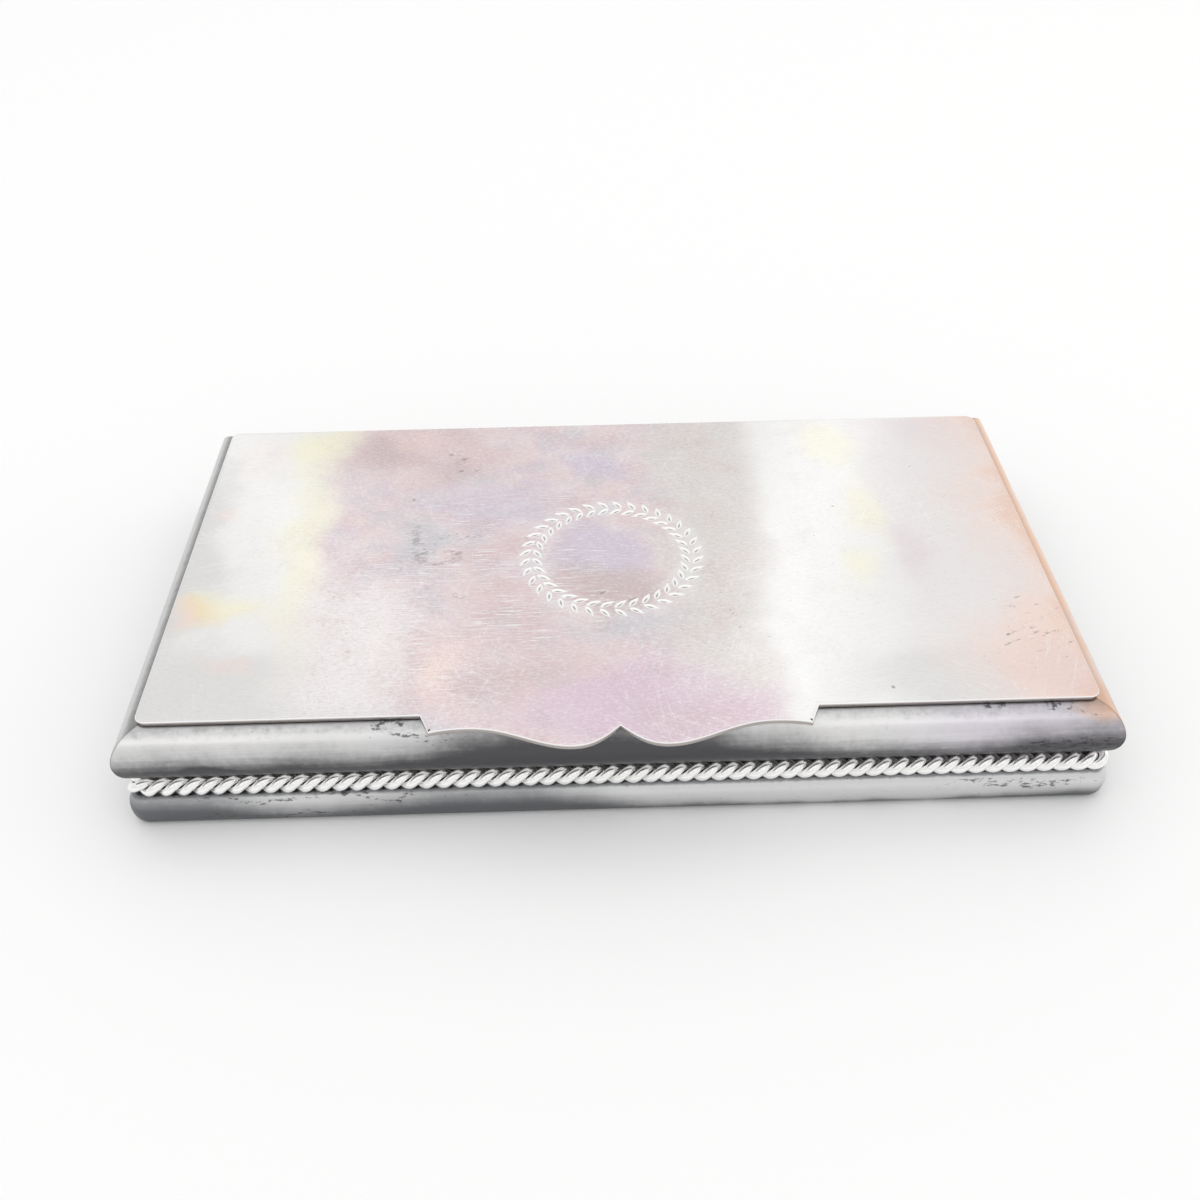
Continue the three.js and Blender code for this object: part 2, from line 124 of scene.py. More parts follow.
class Wire:
    """A value on its way through a shader, so that maths on it reads as a Python expression."""

    def __init__(self, shader: "Shader", socket: bpy.types.NodeSocket) -> None:
        """Wraps one output socket of a shader's node."""
        self.shader = shader
        self.socket = socket

    def __add__(self, other: "Wire | float") -> "Wire":
        """Adds a value."""
        return self.shader.maths("ADD", self, other)

    def __radd__(self, other: float) -> "Wire":
        """Adds itself to a number."""
        return self.shader.maths("ADD", other, self)

    def __sub__(self, other: "Wire | float") -> "Wire":
        """Takes a value away."""
        return self.shader.maths("SUBTRACT", self, other)

    def __rsub__(self, other: float) -> "Wire":
        """Takes itself away from a number."""
        return self.shader.maths("SUBTRACT", other, self)

    def __mul__(self, other: "Wire | float") -> "Wire":
        """Multiplies by a value."""
        return self.shader.maths("MULTIPLY", self, other)

    def __rmul__(self, other: float) -> "Wire":
        """Multiplies a number by itself."""
        return self.shader.maths("MULTIPLY", other, self)

    def __abs__(self) -> "Wire":
        """Drops the sign."""
        return self.shader.maths("ABSOLUTE", self)

    def swing(self, reach: float) -> "Wire":
        """Turns a texture about 0.5 into one about 0, with a reach of its own."""
        return (self - 0.5) * reach


Number = Wire | float
Tone = Wire | Colour


class Shader:
    """A node tree that finishes are written into."""

    drift_detail: ClassVar[float] = 4.0
    line_detail: ClassVar[float] = 2.0
    pit_floor: ClassVar[float] = 0.3
    chance_step: ClassVar[float] = 0.02

    def __init__(self, tree: bpy.types.NodeTree) -> None:
        """Starts on an empty or fresh node tree."""
        self.tree = tree

    def node(
        self,
        kind: str,
        settings: Mapping[str, Any] | None = None,
        inputs: Mapping[str | int, Any] | None = None,
    ) -> bpy.types.Node:
        """Adds any node.

        Args:
            kind: The node's type name.
            settings: Properties of the node, set before its sockets.
            inputs: Values or wires for its sockets, by name or number.

        Returns:
            The new node.
        """
        made = self.tree.nodes.new(kind)
        for name, value in (settings or {}).items():
            setattr(made, name, value)
        for key, value in (inputs or {}).items():
            self.feed(made.inputs[key], value)
        return made

    def feed(self, socket: bpy.types.NodeSocket, value: Any) -> None:
        """Links a wire to a socket, or sets the socket's own value."""
        if isinstance(value, Wire):
            self.tree.links.new(value.socket, socket)
        else:
            socket.default_value = value

    def maths(self, operation: str, *values: Number) -> Wire:
        """Adds a Math node on numbers."""
        made = self.node("ShaderNodeMath", {"operation": operation}, dict(enumerate(values)))
        return Wire(self, made.outputs[0])

    def vector(self, operation: str, *values: Any, output: str = "Vector") -> Wire:
        """Adds a Vector Math node on vectors."""
        made = self.node("ShaderNodeVectorMath", {"operation": operation}, dict(enumerate(values)))
        return Wire(self, made.outputs[output])

    def length(self, value: Wire) -> Wire:
        """The length of a vector."""
        return self.vector("LENGTH", value, output="Value")

    def scaled(self, value: Wire, scale: float) -> Wire:
        """Multiplies a vector by one number."""
        made = self.node("ShaderNodeVectorMath", {"operation": "SCALE"}, {0: value, "Scale": scale})
        return Wire(self, made.outputs["Vector"])

    def mix(self, share: Number, first: Tone, second: Tone) -> Wire:
        """Mixes two colours.

        Args:
            share: How much of the second colour shows, from 0 to 1.
            first: The colour below, as a wire or three numbers.
            second: The colour above.

        Returns:
            The mixed colour.
        """
        below, above = (c if isinstance(c, Wire) else (*c, 1.0) for c in (first, second))
        made = self.node("ShaderNodeMix", {"data_type": "RGBA"}, {0: share, 6: below, 7: above})
        return Wire(self, made.outputs[2])

    def fade(self, value: Wire, start: float, end: float) -> Wire:
        """Runs smoothly from 0 where the value is at start to 1 where it is at end."""
        ends = {"Value": value, "From Min": start, "From Max": end}
        made = self.node("ShaderNodeMapRange", {"interpolation_type": "SMOOTHSTEP"}, ends)
        return Wire(self, made.outputs[0])

    def step(self, value: Wire, level: float, reach: float) -> Wire:
        """Runs smoothly from 0 below a level to 1 above it."""
        return self.fade(value, level - reach, level + reach)

    def place(self) -> Wire:
        """The point on the piece, in metres in the frame at rest."""
        return Wire(self, self.node("ShaderNodeTexCoord").outputs["Object"])

    def split(self, value: Wire) -> list[Wire]:
        """The three parts of a vector."""
        made = self.node("ShaderNodeSeparateXYZ", inputs={0: value})
        return [Wire(self, output) for output in made.outputs]

    def stretched(self, place: Wire, sizes: Sequence[float], turn: float = 0.0) -> Wire:
        """The place counted in cells.

        Args:
            place: The point on the piece.
            sizes: The cell's three sides, in metres.
            turn: How far the cell is turned about Z.

        Returns:
            A vector that grows by one from cell to cell.
        """
        inputs = {"Vector": place, "Rotation": (0.0, 0.0, turn), "Scale": tuple(sizes)}
        made = self.node("ShaderNodeMapping", {"vector_type": "TEXTURE"}, inputs)
        return Wire(self, made.outputs[0])

    def noise(self, cells: Wire, detail: float, rough: float = 0.5, warp: float = 0.0) -> Wire:
        """Cloudy noise of one cell's size, about 0.5."""
        inputs = {"Vector": cells, "Scale": 1.0, "Detail": detail, "Roughness": rough, "Distortion": warp}
        return Wire(self, self.node("ShaderNodeTexNoise", inputs=inputs).outputs[0])

    def drift(self, place: Wire, size: float, reach: float) -> Wire:
        """Moves the place about by noise, so that what is drawn there has a wandering edge.

        Args:
            place: The point on the piece.
            size: The size of the wanderings, in metres.
            reach: How far a point may move, in metres.

        Returns:
            The moved place.
        """
        inputs = {"Vector": place, "Scale": 1.0 / size, "Detail": self.drift_detail}
        noise = Wire(self, self.node("ShaderNodeTexNoise", inputs=inputs).outputs[1])
        centred = self.vector("SUBTRACT", noise, (0.5, 0.5, 0.5))
        return self.vector("ADD", place, self.scaled(centred, 2 * reach))

    def lines(self, cells: Wire, width: float) -> Wire:
        """Thin lines where stretched noise passes its middle value.

        Args:
            cells: The place, counted in long thin cells.
            width: How wide the lines are, as a share of the noise.

        Returns:
            1 on a line and 0 beside it.
        """
        return self.fade(abs(self.noise(cells, self.line_detail) - 0.5), width, 0.0)

    def specks(self, place: Wire, size: float, reach: float, share: float) -> Wire:
        """Small round pits scattered over a surface.

        Args:
            place: The point on the piece.
            size: The distance between places that may hold a pit, in metres.
            reach: A pit's radius as a share of that distance.
            share: The share of the places that hold one.

        Returns:
            1 in a pit and 0 beside it.
        """
        made = self.node("ShaderNodeTexVoronoi", inputs={"Vector": place, "Scale": 1.0 / size})
        pit = self.fade(Wire(self, made.outputs["Distance"]), reach, self.pit_floor * reach)
        chance = self.split(Wire(self, made.outputs["Color"]))[0]
        return pit * self.fade(chance, 1.0 - share, 1.0 - share + self.chance_step)

    def bump(self, height: Wire, depth: float, under: Wire | None = None) -> Wire:
        """A surface normal from a height.

        Args:
            height: The height, from 0 to 1.
            depth: What a height of 1 measures, in metres.
            under: The normal that this one is laid over.

        Returns:
            The bumped normal.
        """
        inputs = {"Strength": 1.0, "Distance": depth, "Height": height}
        if under is not None:
            inputs["Normal"] = under
        return Wire(self, self.node("ShaderNodeBump", inputs=inputs).outputs[0])


@dataclass(frozen=True)
class Texture:
    """Cloudy noise, given by its cell's three sides in metres and how finely it is broken up."""

    cell: tuple[float, float, float]
    detail: float = 3.0
    rough: float = 0.5
    turn: float = 0.0
    warp: float = 0.0

    @classmethod
    def even(cls, size: float, detail: float = 3.0, rough: float = 0.5) -> "Texture":
        """A texture of the same size in every direction."""
        return cls((size, size, size), detail, rough)

    def on(self, shader: Shader, place: Wire) -> Wire:
        """The texture's value at a place, about 0.5."""
        cells = shader.stretched(place, self.cell, self.turn)
        return shader.noise(cells, self.detail, self.rough, self.warp)


@dataclass(frozen=True)
class Coat:
    """A thin colour that shows where a texture runs from one value to another."""

    start: float
    end: float
    strength: float
    colour: Colour

    def over(self, shader: Shader, below: Tone, texture: Wire, share: Number = 1.0) -> Wire:
        """Lays the coat over a colour.

        Args:
            shader: The node tree that it is drawn in.
            below: The colour below.
            texture: The value that the coat follows.
            share: What weakens it from place to place.

        Returns:
            The coated colour.
        """
        shows = shader.fade(texture, self.start, self.end) * (self.strength * share)
        return shader.mix(shows, below, self.colour)


@dataclass(frozen=True)
class BloomAndShade:
    """A soft patch round a place in the plan or, with a third number, in space; it serves for stains of
    tarnish, for dents, and for painted shade and painted light.
    """

    centre: tuple[float, ...]
    spread: tuple[float, ...]
    tint: Tint
    strength: float
    core: float = 0.1

    def mask(self, shader: Shader, place: Wire) -> Wire:
        """How far the patch shows.

        Args:
            shader: The node tree that it is drawn in.
            place: The point on the piece.

        Returns:
            The patch's strength at its middle, and 0 outside its spread.
        """
        away = shader.vector("SUBTRACT", place, (*self.centre, 0.0)[:3])
        share = shader.vector("MULTIPLY", away, (*(1 / reach for reach in self.spread), 0.0)[:3])
        return shader.fade(shader.length(share), 1.0, self.core) * self.strength


def stained(shader: Shader, place: Wire, colour: Tone, blooms: Iterable[BloomAndShade]) -> Tone:
    """Lays stains over a colour, one after the other.

    Args:
        shader: The node tree that they are drawn in.
        place: The point on the piece.
        colour: The colour below them.
        blooms: The stains, the lowest first.

    Returns:
        The stained colour.
    """
    for bloom in blooms:
        colour = shader.mix(bloom.mask(shader, place), colour, bloom.tint.value)
    return colour


def gathered(shader: Shader, place: Wire, blooms: Iterable[BloomAndShade]) -> Number:
    """How strongly several patches show together.

    Args:
        shader: The node tree that they are drawn in.
        place: The point on the piece.
        blooms: The patches.

    Returns:
        The sum of their strengths.
    """
    total: Number = 0.0
    for bloom in blooms:
        total = bloom.mask(shader, place) + total
    return total


@dataclass(frozen=True)
class Finish:
    """What every surface has: a name and a way to make its material."""

    name: str

    def material(self) -> bpy.types.Material:
        """The finish's material, made at its first use."""
        found = bpy.data.materials.get(self.name)
        if found is not None:
            return found
        made = bpy.data.materials.new(self.name)
        made.use_nodes = True
        shader = Shader(made.node_tree)
        surface = made.node_tree.nodes["Principled BSDF"]
        for socket, value in self.dress(shader).items():
            shader.feed(surface.inputs[socket], value)
        return made

    def dress(self, shader: Shader) -> Mapping[str, Number | Tone]:
        """Draws the finish; each one has its own way.

        Args:
            shader: The material's node tree.

        Returns:
            What the surface's sockets get, by their names.
        """
        raise NotImplementedError


@dataclass(frozen=True)
class LidSilver(Finish):
    """Polished plate that has been handled: blooms of tarnish, rubbing marks, scratches, pits and dents,
    with painted shade on the dents and a painted highlight and shade in the engraving.
    """

    top: float
    thickness: float
    blooms: tuple[BloomAndShade, ...]
    soiled: tuple[BloomAndShade, ...]
    dents: tuple[BloomAndShade, ...]
    bright: ClassVar[Colour] = (0.99, 0.99, 0.985)
    clean: Colour = (0.925, 0.92, 0.91)
    pale_pink: Colour = (0.86, 0.75, 0.765)
    grime_and_shade: Colour = (0.27, 0.22, 0.2)
    inside: Colour = (0.9, 0.885, 0.86)
    inside_haze: Coat = Coat(0.4, 0.7, 0.4, Tint.ASH.value)
    # Outside the veil of tarnish, clean silver shows in upright bands at the left and right; that pale
    # silver is partly a painted reflection of bright bands.
    veil: BloomAndShade = BloomAndShade((-0.016, 0.0), (0.048, 0.3), Tint.PINK, 1.0, 0.72)
    rubbed: BloomAndShade = BloomAndShade((-0.024, -0.008), (0.034, 0.04), Tint.ROSE, 1.0, 0.4)
    drift_size: float = 0.02
    drift_reach: float = 0.011
    dent_drift_size: float = 0.0016
    dent_drift_reach: float = 0.003
    cloud: Texture = Texture.even(0.0115, 7.0, 0.68)
    patches: Texture = Texture.even(0.019, 5.0, 0.6)
    hues: Texture = Texture.even(0.0075, 5.0, 0.62)
    swell: Texture = Texture.even(0.036, 1.0)
    grain: Texture = Texture((0.0009, 0.00045, 0.0009), 4.0, 0.7)
    rub: Texture = Texture((0.0055, 0.0003, 0.0055), 3.0, 0.6)
    blots: Texture = Texture((0.0032, 0.0011, 0.0032), 5.0, 0.7, 0.4)
    lilac_patches: Range = (0.48, 0.66)
    deep_patches: Range = (0.42, 0.6)
    deep_strength: float = 0.75
    pink_strength: float = 0.3
    smoky_hues: Coat = Coat(0.5, 0.64, 0.5, Tint.SMOKE.value)
    peachy_hues: Coat = Coat(0.48, 0.34, 0.5, (0.88, 0.735, 0.7))
    cloud_coats: tuple[Coat, ...] = (
        Coat(0.5, 0.72, 0.34, Tint.BROWN.value),
        Coat(0.46, 0.26, 0.32, bright),
    )
    grain_coats: tuple[Coat, ...] = (
        Coat(0.5, 0.7, 0.4, Tint.BROWN.value),
        Coat(0.5, 0.32, 0.36, bright),
    )
    least_busy: float = 0.3
    worn_clouds: Range = (0.38, 0.55)
    dark_rub: Range = (0.48, 0.34)
    dark_rub_strength: float = 0.4
    light_rub: Range = (0.54, 0.66)
    light_rub_strength: float = 0.9
    scratch_runs: tuple[Range, ...] = ((0.3, 0.03), (-0.5, 0.022), (1.2, 0.026), (-1.3, 0.018))
    scratch_pitch: float = 0.0018
    scratch_width: float = 0.014
    scratch_kept: Range = (0.5, 0.62)
    scratch_strength: float = 0.25
    pit_spacing: float = 0.008
    pit_reach: float = 0.06
    pit_share: float = 0.2
    pit_grime: float = 0.7
    crumb_range: Range = (0.66, 0.78)
    crumb_swing: float = 0.6
    crumb_grime: float = 0.3
    stain_range: Range = (0.68, 0.76)
    stain_soil: float = 0.12
    stain_grime: float = 0.6
    dent_shade_range: Range = (0.44, 0.6)
    dent_shade_strength: float = 2.0
    ring_width: Range = (0.004, 0.0018)
    ring_range: Range = (0.64, 0.4)
    ring_swing: float = 0.4
    ring_strength: float = 0.28
    edge_shares: Range = (0.98, 0.9)
    cut_highlight: Range = (0.02, 0.15)
    cut_grime_and_shade: Range = (0.6, 0.9)
    cut_grime_and_shade_strength: float = 0.75
    roughness: float = 0.2
    cloud_roughness: float = 0.2
    grain_roughness: float = 0.1
    rub_roughness: float = 0.06
    swell_depth: float = 0.00016
    dent_depth: float = 0.00006
    mark_depth: float = 0.000004
    rub_height: float = 0.5
    scratch_height: float = 0.5
    pit_height: float = 3.0
    grain_height: float = 0.5

    def dress(self, shader: Shader) -> Mapping[str, Number | Tone]:
        """Lays stains over clean silver, then rubs, scratches and pits it.

        Args:
            shader: The material's node tree.

        Returns:
            What the surface's sockets get, by their names.
        """
        place = shader.place()
        wandering = shader.drift(place, self.drift_size, self.drift_reach)
        cloud = self.cloud.on(shader, place)
        grain = self.grain.on(shader, place)
        rub = self.rub.on(shader, place)
        blots = self.blots.on(shader, place)
        tarnished = self.veil.mask(shader, wandering)
        busy = tarnished * (1.0 - self.least_busy) + self.least_busy
        worn = self.rubbed.mask(shader, wandering) * shader.fade(cloud, *self.worn_clouds)
        dark_rub = shader.fade(rub, *self.dark_rub) * worn
        light_rub = shader.fade(rub, *self.light_rub) * worn
        scratches = self.scratches(shader, place)
        pits = shader.specks(place, self.pit_spacing, self.pit_reach, self.pit_share)
        crumbs = shader.fade(grain + cloud.swing(self.crumb_swing), *self.crumb_range) * busy
        soil = gathered(shader, wandering, self.soiled)
        stains = shader.fade(blots + soil * self.stain_soil, *self.stain_range)
        sunk = gathered(shader, shader.drift(place, self.dent_drift_size, self.dent_drift_reach), self.dents)
        # Painted shade on the dents' slopes, broken up by blots.
        dent_shade = sunk * (1.0 - sunk) * shader.fade(blots, *self.dent_shade_range)
        colour = shader.mix(tarnished, self.clean, self.tarnish(shader, place, cloud))
        colour = stained(shader, wandering, colour, self.blooms)
        for texture, coats in ((cloud, self.cloud_coats), (grain, self.grain_coats)):
            for coat in coats:
                colour = coat.over(shader, colour, texture, busy)
        colour = shader.mix(dark_rub * self.dark_rub_strength, colour, Tint.BROWN.value)
        glints = light_rub * self.light_rub_strength + scratches * self.scratch_strength
        colour = shader.mix(glints, colour, self.bright)
        polish = shader.fade(cloud + grain.swing(self.ring_swing), *self.ring_range)
        polish = self.rubbed_ring(shader, place) * polish
        colour = shader.mix(polish * self.ring_strength, colour, self.bright)
        # Dirt from pits, crumbs and stains, and the dents' painted shade.
        dirt_and_shade = pits * self.pit_grime + crumbs * self.crumb_grime
        dirt_and_shade = dirt_and_shade + stains * self.stain_grime + dent_shade * self.dent_shade_strength
        colour = self.cut_through(shader, place, cloud, shader.mix(dirt_and_shade, colour, self.grime_and_shade))
        rough = self.roughness + cloud.swing(self.cloud_roughness) + grain.swing(self.grain_roughness)
        waves = shader.bump(self.swell.on(shader, place), self.swell_depth)
        waves = shader.bump(0.0 - sunk, self.dent_depth, waves)
        height = rub * self.rub_height - scratches * self.scratch_height
        height = height - pits * self.pit_height + grain * self.grain_height
        return {
            "Base Color": colour,
            "Metallic": 1.0,
            "Roughness": rough + dark_rub * self.rub_roughness,
            "Normal": shader.bump(height, self.mark_depth, waves),
        }

    def tarnish(self, shader: Shader, place: Wire, cloud: Wire) -> Wire:
        """The mingled colours of the tarnished field.

        Args:
            shader: The material's node tree.
            place: The point on the plate.
            cloud: The clouds that also darken the field.

        Returns:
            Rose, lilac, smoke, peach and pale pink in patches.
        """
        lilac = shader.fade(self.patches.on(shader, place), *self.lilac_patches)
        colour = shader.mix(lilac, Tint.ROSE.value, Tint.LILAC.value)
        deep = shader.fade(cloud, *self.deep_patches) * self.deep_strength
        colour = shader.mix(deep, self.pale_pink, colour)
        colour = shader.mix(self.pink_strength, colour, Tint.PINK.value)
        hues = self.hues.on(shader, place)
        colour = self.smoky_hues.over(shader, colour, hues)
        return self.peachy_hues.over(shader, colour, hues)

    def rubbed_ring(self, shader: Shader, place: Wire) -> Wire:
        """The ring round the engraving, which is rubbed brighter than the rest."""
        away = shader.vector("SUBTRACT", place, (*Wreath.centre, 0.0))
        reach = shader.length(shader.vector("MULTIPLY", away, (1.0, 1.0, 0.0)))
        return shader.fade(abs(reach - Wreath.radius), *self.ring_width)

    def scratches(self, shader: Shader, place: Wire) -> Number:
        """Fine scratches that cross the plate at a few angles."""
        total: Number = 0.0
        for turn, length in self.scratch_runs:
            cells = shader.stretched(place, (length, self.scratch_pitch, length), turn)
            kept = shader.fade(Texture.even(length, 1.0).on(shader, place), *self.scratch_kept)
            total = shader.lines(cells, self.scratch_width) * kept + total
        return total

    def cut_through(self, shader: Shader, place: Wire, cloud: Wire, face: Wire) -> Wire:
        """Shows what lies below the face: the engraved cuts, with a painted highlight on their walls and
        grime and painted shade at their keels, and the plate's inside.

        Args:
            shader: The material's node tree.
            place: The point on the plate.
            cloud: The clouds that haze the inside.
            face: The colour of the face.

        Returns:
            The colour at any depth.
        """
        below = self.top - shader.split(place)[2]
        depth = below * (1 / Wreath.depth)
        above_edge = shader.fade(below, *(share * self.thickness for share in self.edge_shares))
        colour = shader.mix(above_edge, self.inside_haze.over(shader, self.inside, cloud), face)
        # Painted highlight on the cut walls, then grime and painted shade towards the keels.
        colour = shader.mix(shader.fade(depth, *self.cut_highlight) * above_edge, colour, self.bright)
        grime_and_shade = shader.fade(depth, *self.cut_grime_and_shade) * above_edge * self.cut_grime_and_shade_strength
        return shader.mix(grime_and_shade, colour, self.grime_and_shade)


@dataclass(frozen=True)
class BorderSilver(Finish):
    """Formed strip: bright above and darker towards its foot with tarnish and painted shade, with streaks
    and stains.
    """

    low: float = 0.0
    high: float = 1.0
    clean: Colour = Tint.SILVER.value
    # The dark of tarnish, also used as the painted shade towards the foot and along the seam.
    tarnish: Colour = (0.095, 0.094, 0.1)
    roughness: float = 0.3
    dark_below: float = 0.3
    bright_above: float = 0.95
    bright_under: float = 0.13
    under_width: float = 0.03
    seam_level: float = 0.95
    seam_width: float = 0.05
    seam_swing: float = 0.06
    seam_grime_and_shade: float = 0.65
    blooms: tuple[BloomAndShade, ...] = ()
    painted_shade_and_light: tuple[BloomAndShade, ...] = ()
    soiled: tuple[BloomAndShade, ...] = ()
    drift_size: float = 0.012
    drift_reach: float = 0.004
    cloud: Texture = Texture.even(0.013, 5.0, 0.6)
    mottle: Texture = Texture.even(0.0015, 4.0, 0.7)
    streak: Texture = Texture((0.016, 0.016, 0.0008), 4.0, 0.6)
    blots: Texture = Texture((0.0018, 0.0018, 0.0006), 4.0, 0.7)
    hammering: Texture = Texture.even(0.012, 2.0)
    cloud_swing: float = 0.34
    streak_swing: float = 0.16
    mottle_swing: float = 0.14
    haze: Coat = Coat(0.5, 0.8, 0.4, Tint.SMOKE.value)
    scuffs: Coat = Coat(0.54, 0.72, 0.3, Tint.PEWTER.value)
    scuff_swing: float = 0.8
    stains: Range = (0.66, 0.76)
    stain_soil: float = 0.16
    stain_strength: float = 0.75
    dark_roughness: float = 0.1
    mottle_roughness: float = 0.14
    stain_roughness: float = 0.2
    hammer_depth: float = 0.00006
    streak_depth: float = 0.000005
    mottle_height: float = 0.5

    def dress(self, shader: Shader) -> Mapping[str, Number | Tone]:
        """Darkens the strip towards its foot with tarnish and painted shade, then clouds, scuffs and stains
        it.

        Args:
            shader: The material's node tree.

        Returns:
            What the surface's sockets get, by their names.
        """
        place = shader.place()
        level = (shader.split(place)[2] - self.low) * (1.0 / (self.high - self.low))
        cloud = self.cloud.on(shader, place)
        streak = self.streak.on(shader, place)
        blots = self.blots.on(shader, place)
        mottle = self.mottle.on(shader, place)
        wandering = shader.drift(place, self.drift_size, self.drift_reach)
        # Painted shade with tarnish: darker towards the foot but not on the underside, moved up or down by
        # the patches of painted shade and light.
        ragged = level + cloud.swing(self.cloud_swing) + streak.swing(self.streak_swing)
        ragged = ragged + mottle.swing(self.mottle_swing) - gathered(shader, wandering, self.painted_shade_and_light)
        dark = shader.fade(ragged, self.bright_above, self.dark_below)
        dark = dark * shader.step(level, self.bright_under, self.under_width)
        colour = stained(shader, wandering, self.clean, self.blooms)
        colour = self.haze.over(shader, colour, cloud)
        colour = shader.mix(dark, colour, self.tarnish)
        colour = self.scuffs.over(shader, colour, mottle + streak.swing(self.scuff_swing), 1.0 - dark)
        # Grime and painted shade in a line along the strip's top, where the part above meets it.
        seam = shader.step(level + mottle.swing(self.seam_swing), self.seam_level, self.seam_width)
        colour = shader.mix(seam * self.seam_grime_and_shade, colour, self.tarnish)
        soil = gathered(shader, wandering, self.soiled)
        stains = shader.fade(blots + soil * self.stain_soil, *self.stains)
        rough = self.roughness + dark * self.dark_roughness + stains * self.stain_roughness
        hammered = shader.bump(self.hammering.on(shader, place), self.hammer_depth)
        return {
            "Base Color": shader.mix(stains * self.stain_strength, colour, Tint.INK.value),
            "Metallic": 1.0,
            "Roughness": rough + mottle.swing(self.mottle_roughness),
            "Normal": shader.bump(streak + mottle * self.mottle_height, self.streak_depth, hammered),
        }


@dataclass(frozen=True)
class RopeSilver(Finish):
    """Drawn wire: bright on the crowns and dark between the strands."""

    crown: ClassVar[str] = "crown"
    clean: Colour = (0.99, 0.985, 0.975)
    crevice: Colour = (0.24, 0.235, 0.23)
    crevice_below: float = 0.22
    metallic: float = 0.92
    roughness: float = 0.2
    crevice_roughness: float = 0.3
    mottle: Texture = Texture.even(0.0011, 4.0, 0.65)
    mottle_swing: float = 0.3
    mottle_roughness: float = 0.12
    mottle_depth: float = 0.000012
    cloud: Texture = Texture.even(0.01)
    cloud_swing: float = 0.2
    haze: Coat = Coat(0.5, 0.8, 0.3, Tint.OLIVE.value)

    def dress(self, shader: Shader) -> Mapping[str, Number | Tone]:
        """Darkens the wire away from its crown.

        Args:
            shader: The material's node tree.

        Returns:
            What the surface's sockets get, by their names.
        """
        place = shader.place()
        made = shader.node("ShaderNodeAttribute", {"attribute_name": self.crown})
        crown = Wire(shader, made.outputs["Fac"])
        mottle = self.mottle.on(shader, place)
        cloud = self.cloud.on(shader, place)
        ragged = crown + mottle.swing(self.mottle_swing) + cloud.swing(self.cloud_swing)
        dark = shader.fade(ragged, self.crevice_below, 0.0)
        rough = self.roughness + dark * self.crevice_roughness
        return {
            "Base Color": shader.mix(dark, self.haze.over(shader, self.clean, cloud), self.crevice),
            "Metallic": self.metallic,
            "Roughness": rough + mottle.swing(self.mottle_roughness),
            "Normal": shader.bump(mottle, self.mottle_depth),
        }


@dataclass(frozen=True)
class SheetSilver(Finish):
    """Plain sheet, tube and wire: filed, rubbed one way and lightly tarnished."""

    clean: Colour = (0.72, 0.7, 0.68)
    tarnish: Colour = (0.34, 0.3, 0.27)
    tarnish_range: Range = (0.42, 0.75)
    tarnish_strength: float = 0.75
    roughness: float = 0.32
    roughness_swing: float = 0.3
    cloud: Texture = Texture.even(0.009, 5.0, 0.6)
    rub: Texture = Texture((0.018, 0.0004, 0.0004), 3.0, 0.6)
    rub_coat: Coat = Coat(0.5, 0.75, 0.3, (0.88, 0.87, 0.85))
    rub_depth: float = 0.000006

    def dress(self, shader: Shader) -> Mapping[str, Number | Tone]:
        """Rubs the sheet along its length and clouds it.

        Args:
            shader: The material's node tree.

        Returns:
            What the surface's sockets get, by their names.
        """
        place = shader.place()
        cloud = self.cloud.on(shader, place)
        rub = self.rub.on(shader, place)
        dull = shader.fade(cloud, *self.tarnish_range) * self.tarnish_strength
        return {
            "Base Color": self.rub_coat.over(shader, shader.mix(dull, self.clean, self.tarnish), rub),
            "Metallic": 1.0,
            "Roughness": self.roughness + cloud.swing(self.roughness_swing),
            "Normal": shader.bump(rub, self.rub_depth),
        }


@dataclass(frozen=True)
class Cedar(Finish):
    """Bare planed cedar with straight grain."""

    grain: Grain = Grain.ALONG_X
    pale: Colour = (0.46, 0.235, 0.115)
    dark: Colour = (0.235, 0.1, 0.045)
    pore: Colour = (0.1, 0.04, 0.02)
    drift_size: float = 0.05
    drift_reach: float = 0.0012
    rings: Texture = Texture((0.09, 0.0032, 0.0032), 2.0, 0.5, warp=0.6)
    ring_range: Range = (0.36, 0.66)
    fibres: Texture = Texture((0.012, 0.00028, 0.00028), 3.0, 0.65)
    fibre_coat: Coat = Coat(0.35, 0.75, 0.55, (0.56, 0.32, 0.17))
    pores: Texture = Texture((0.0035, 0.0003, 0.0003), 1.0)
    pore_range: Range = (0.66, 0.76)
    pore_strength: float = 0.6
    pore_depth: float = 0.8
    roughness: float = 0.58
    roughness_swing: float = 0.3
    relief: float = 0.00006

    def dress(self, shader: Shader) -> Mapping[str, Number | Tone]:
        """Lays growth rings, fibres and pores along the grain.

        Args:
            shader: The material's node tree.

        Returns:
            What the surface's sockets get, by their names.
        """
        place = shader.drift(shader.place(), self.drift_size, self.drift_reach)
        textures = (self.rings, self.fibres, self.pores)
        along = (replace(texture, turn=self.grain.value) for texture in textures)
        rings, fibres, pores = (texture.on(shader, place) for texture in along)
        pores = shader.fade(pores, *self.pore_range)
        colour = shader.mix(shader.fade(rings, *self.ring_range), self.pale, self.dark)
        colour = self.fibre_coat.over(shader, colour, fibres)
        return {
            "Base Color": shader.mix(pores * self.pore_strength, colour, self.pore),
            "Roughness": self.roughness + fibres.swing(self.roughness_swing),
            "Normal": shader.bump(fibres - pores * self.pore_depth, self.relief),
        }


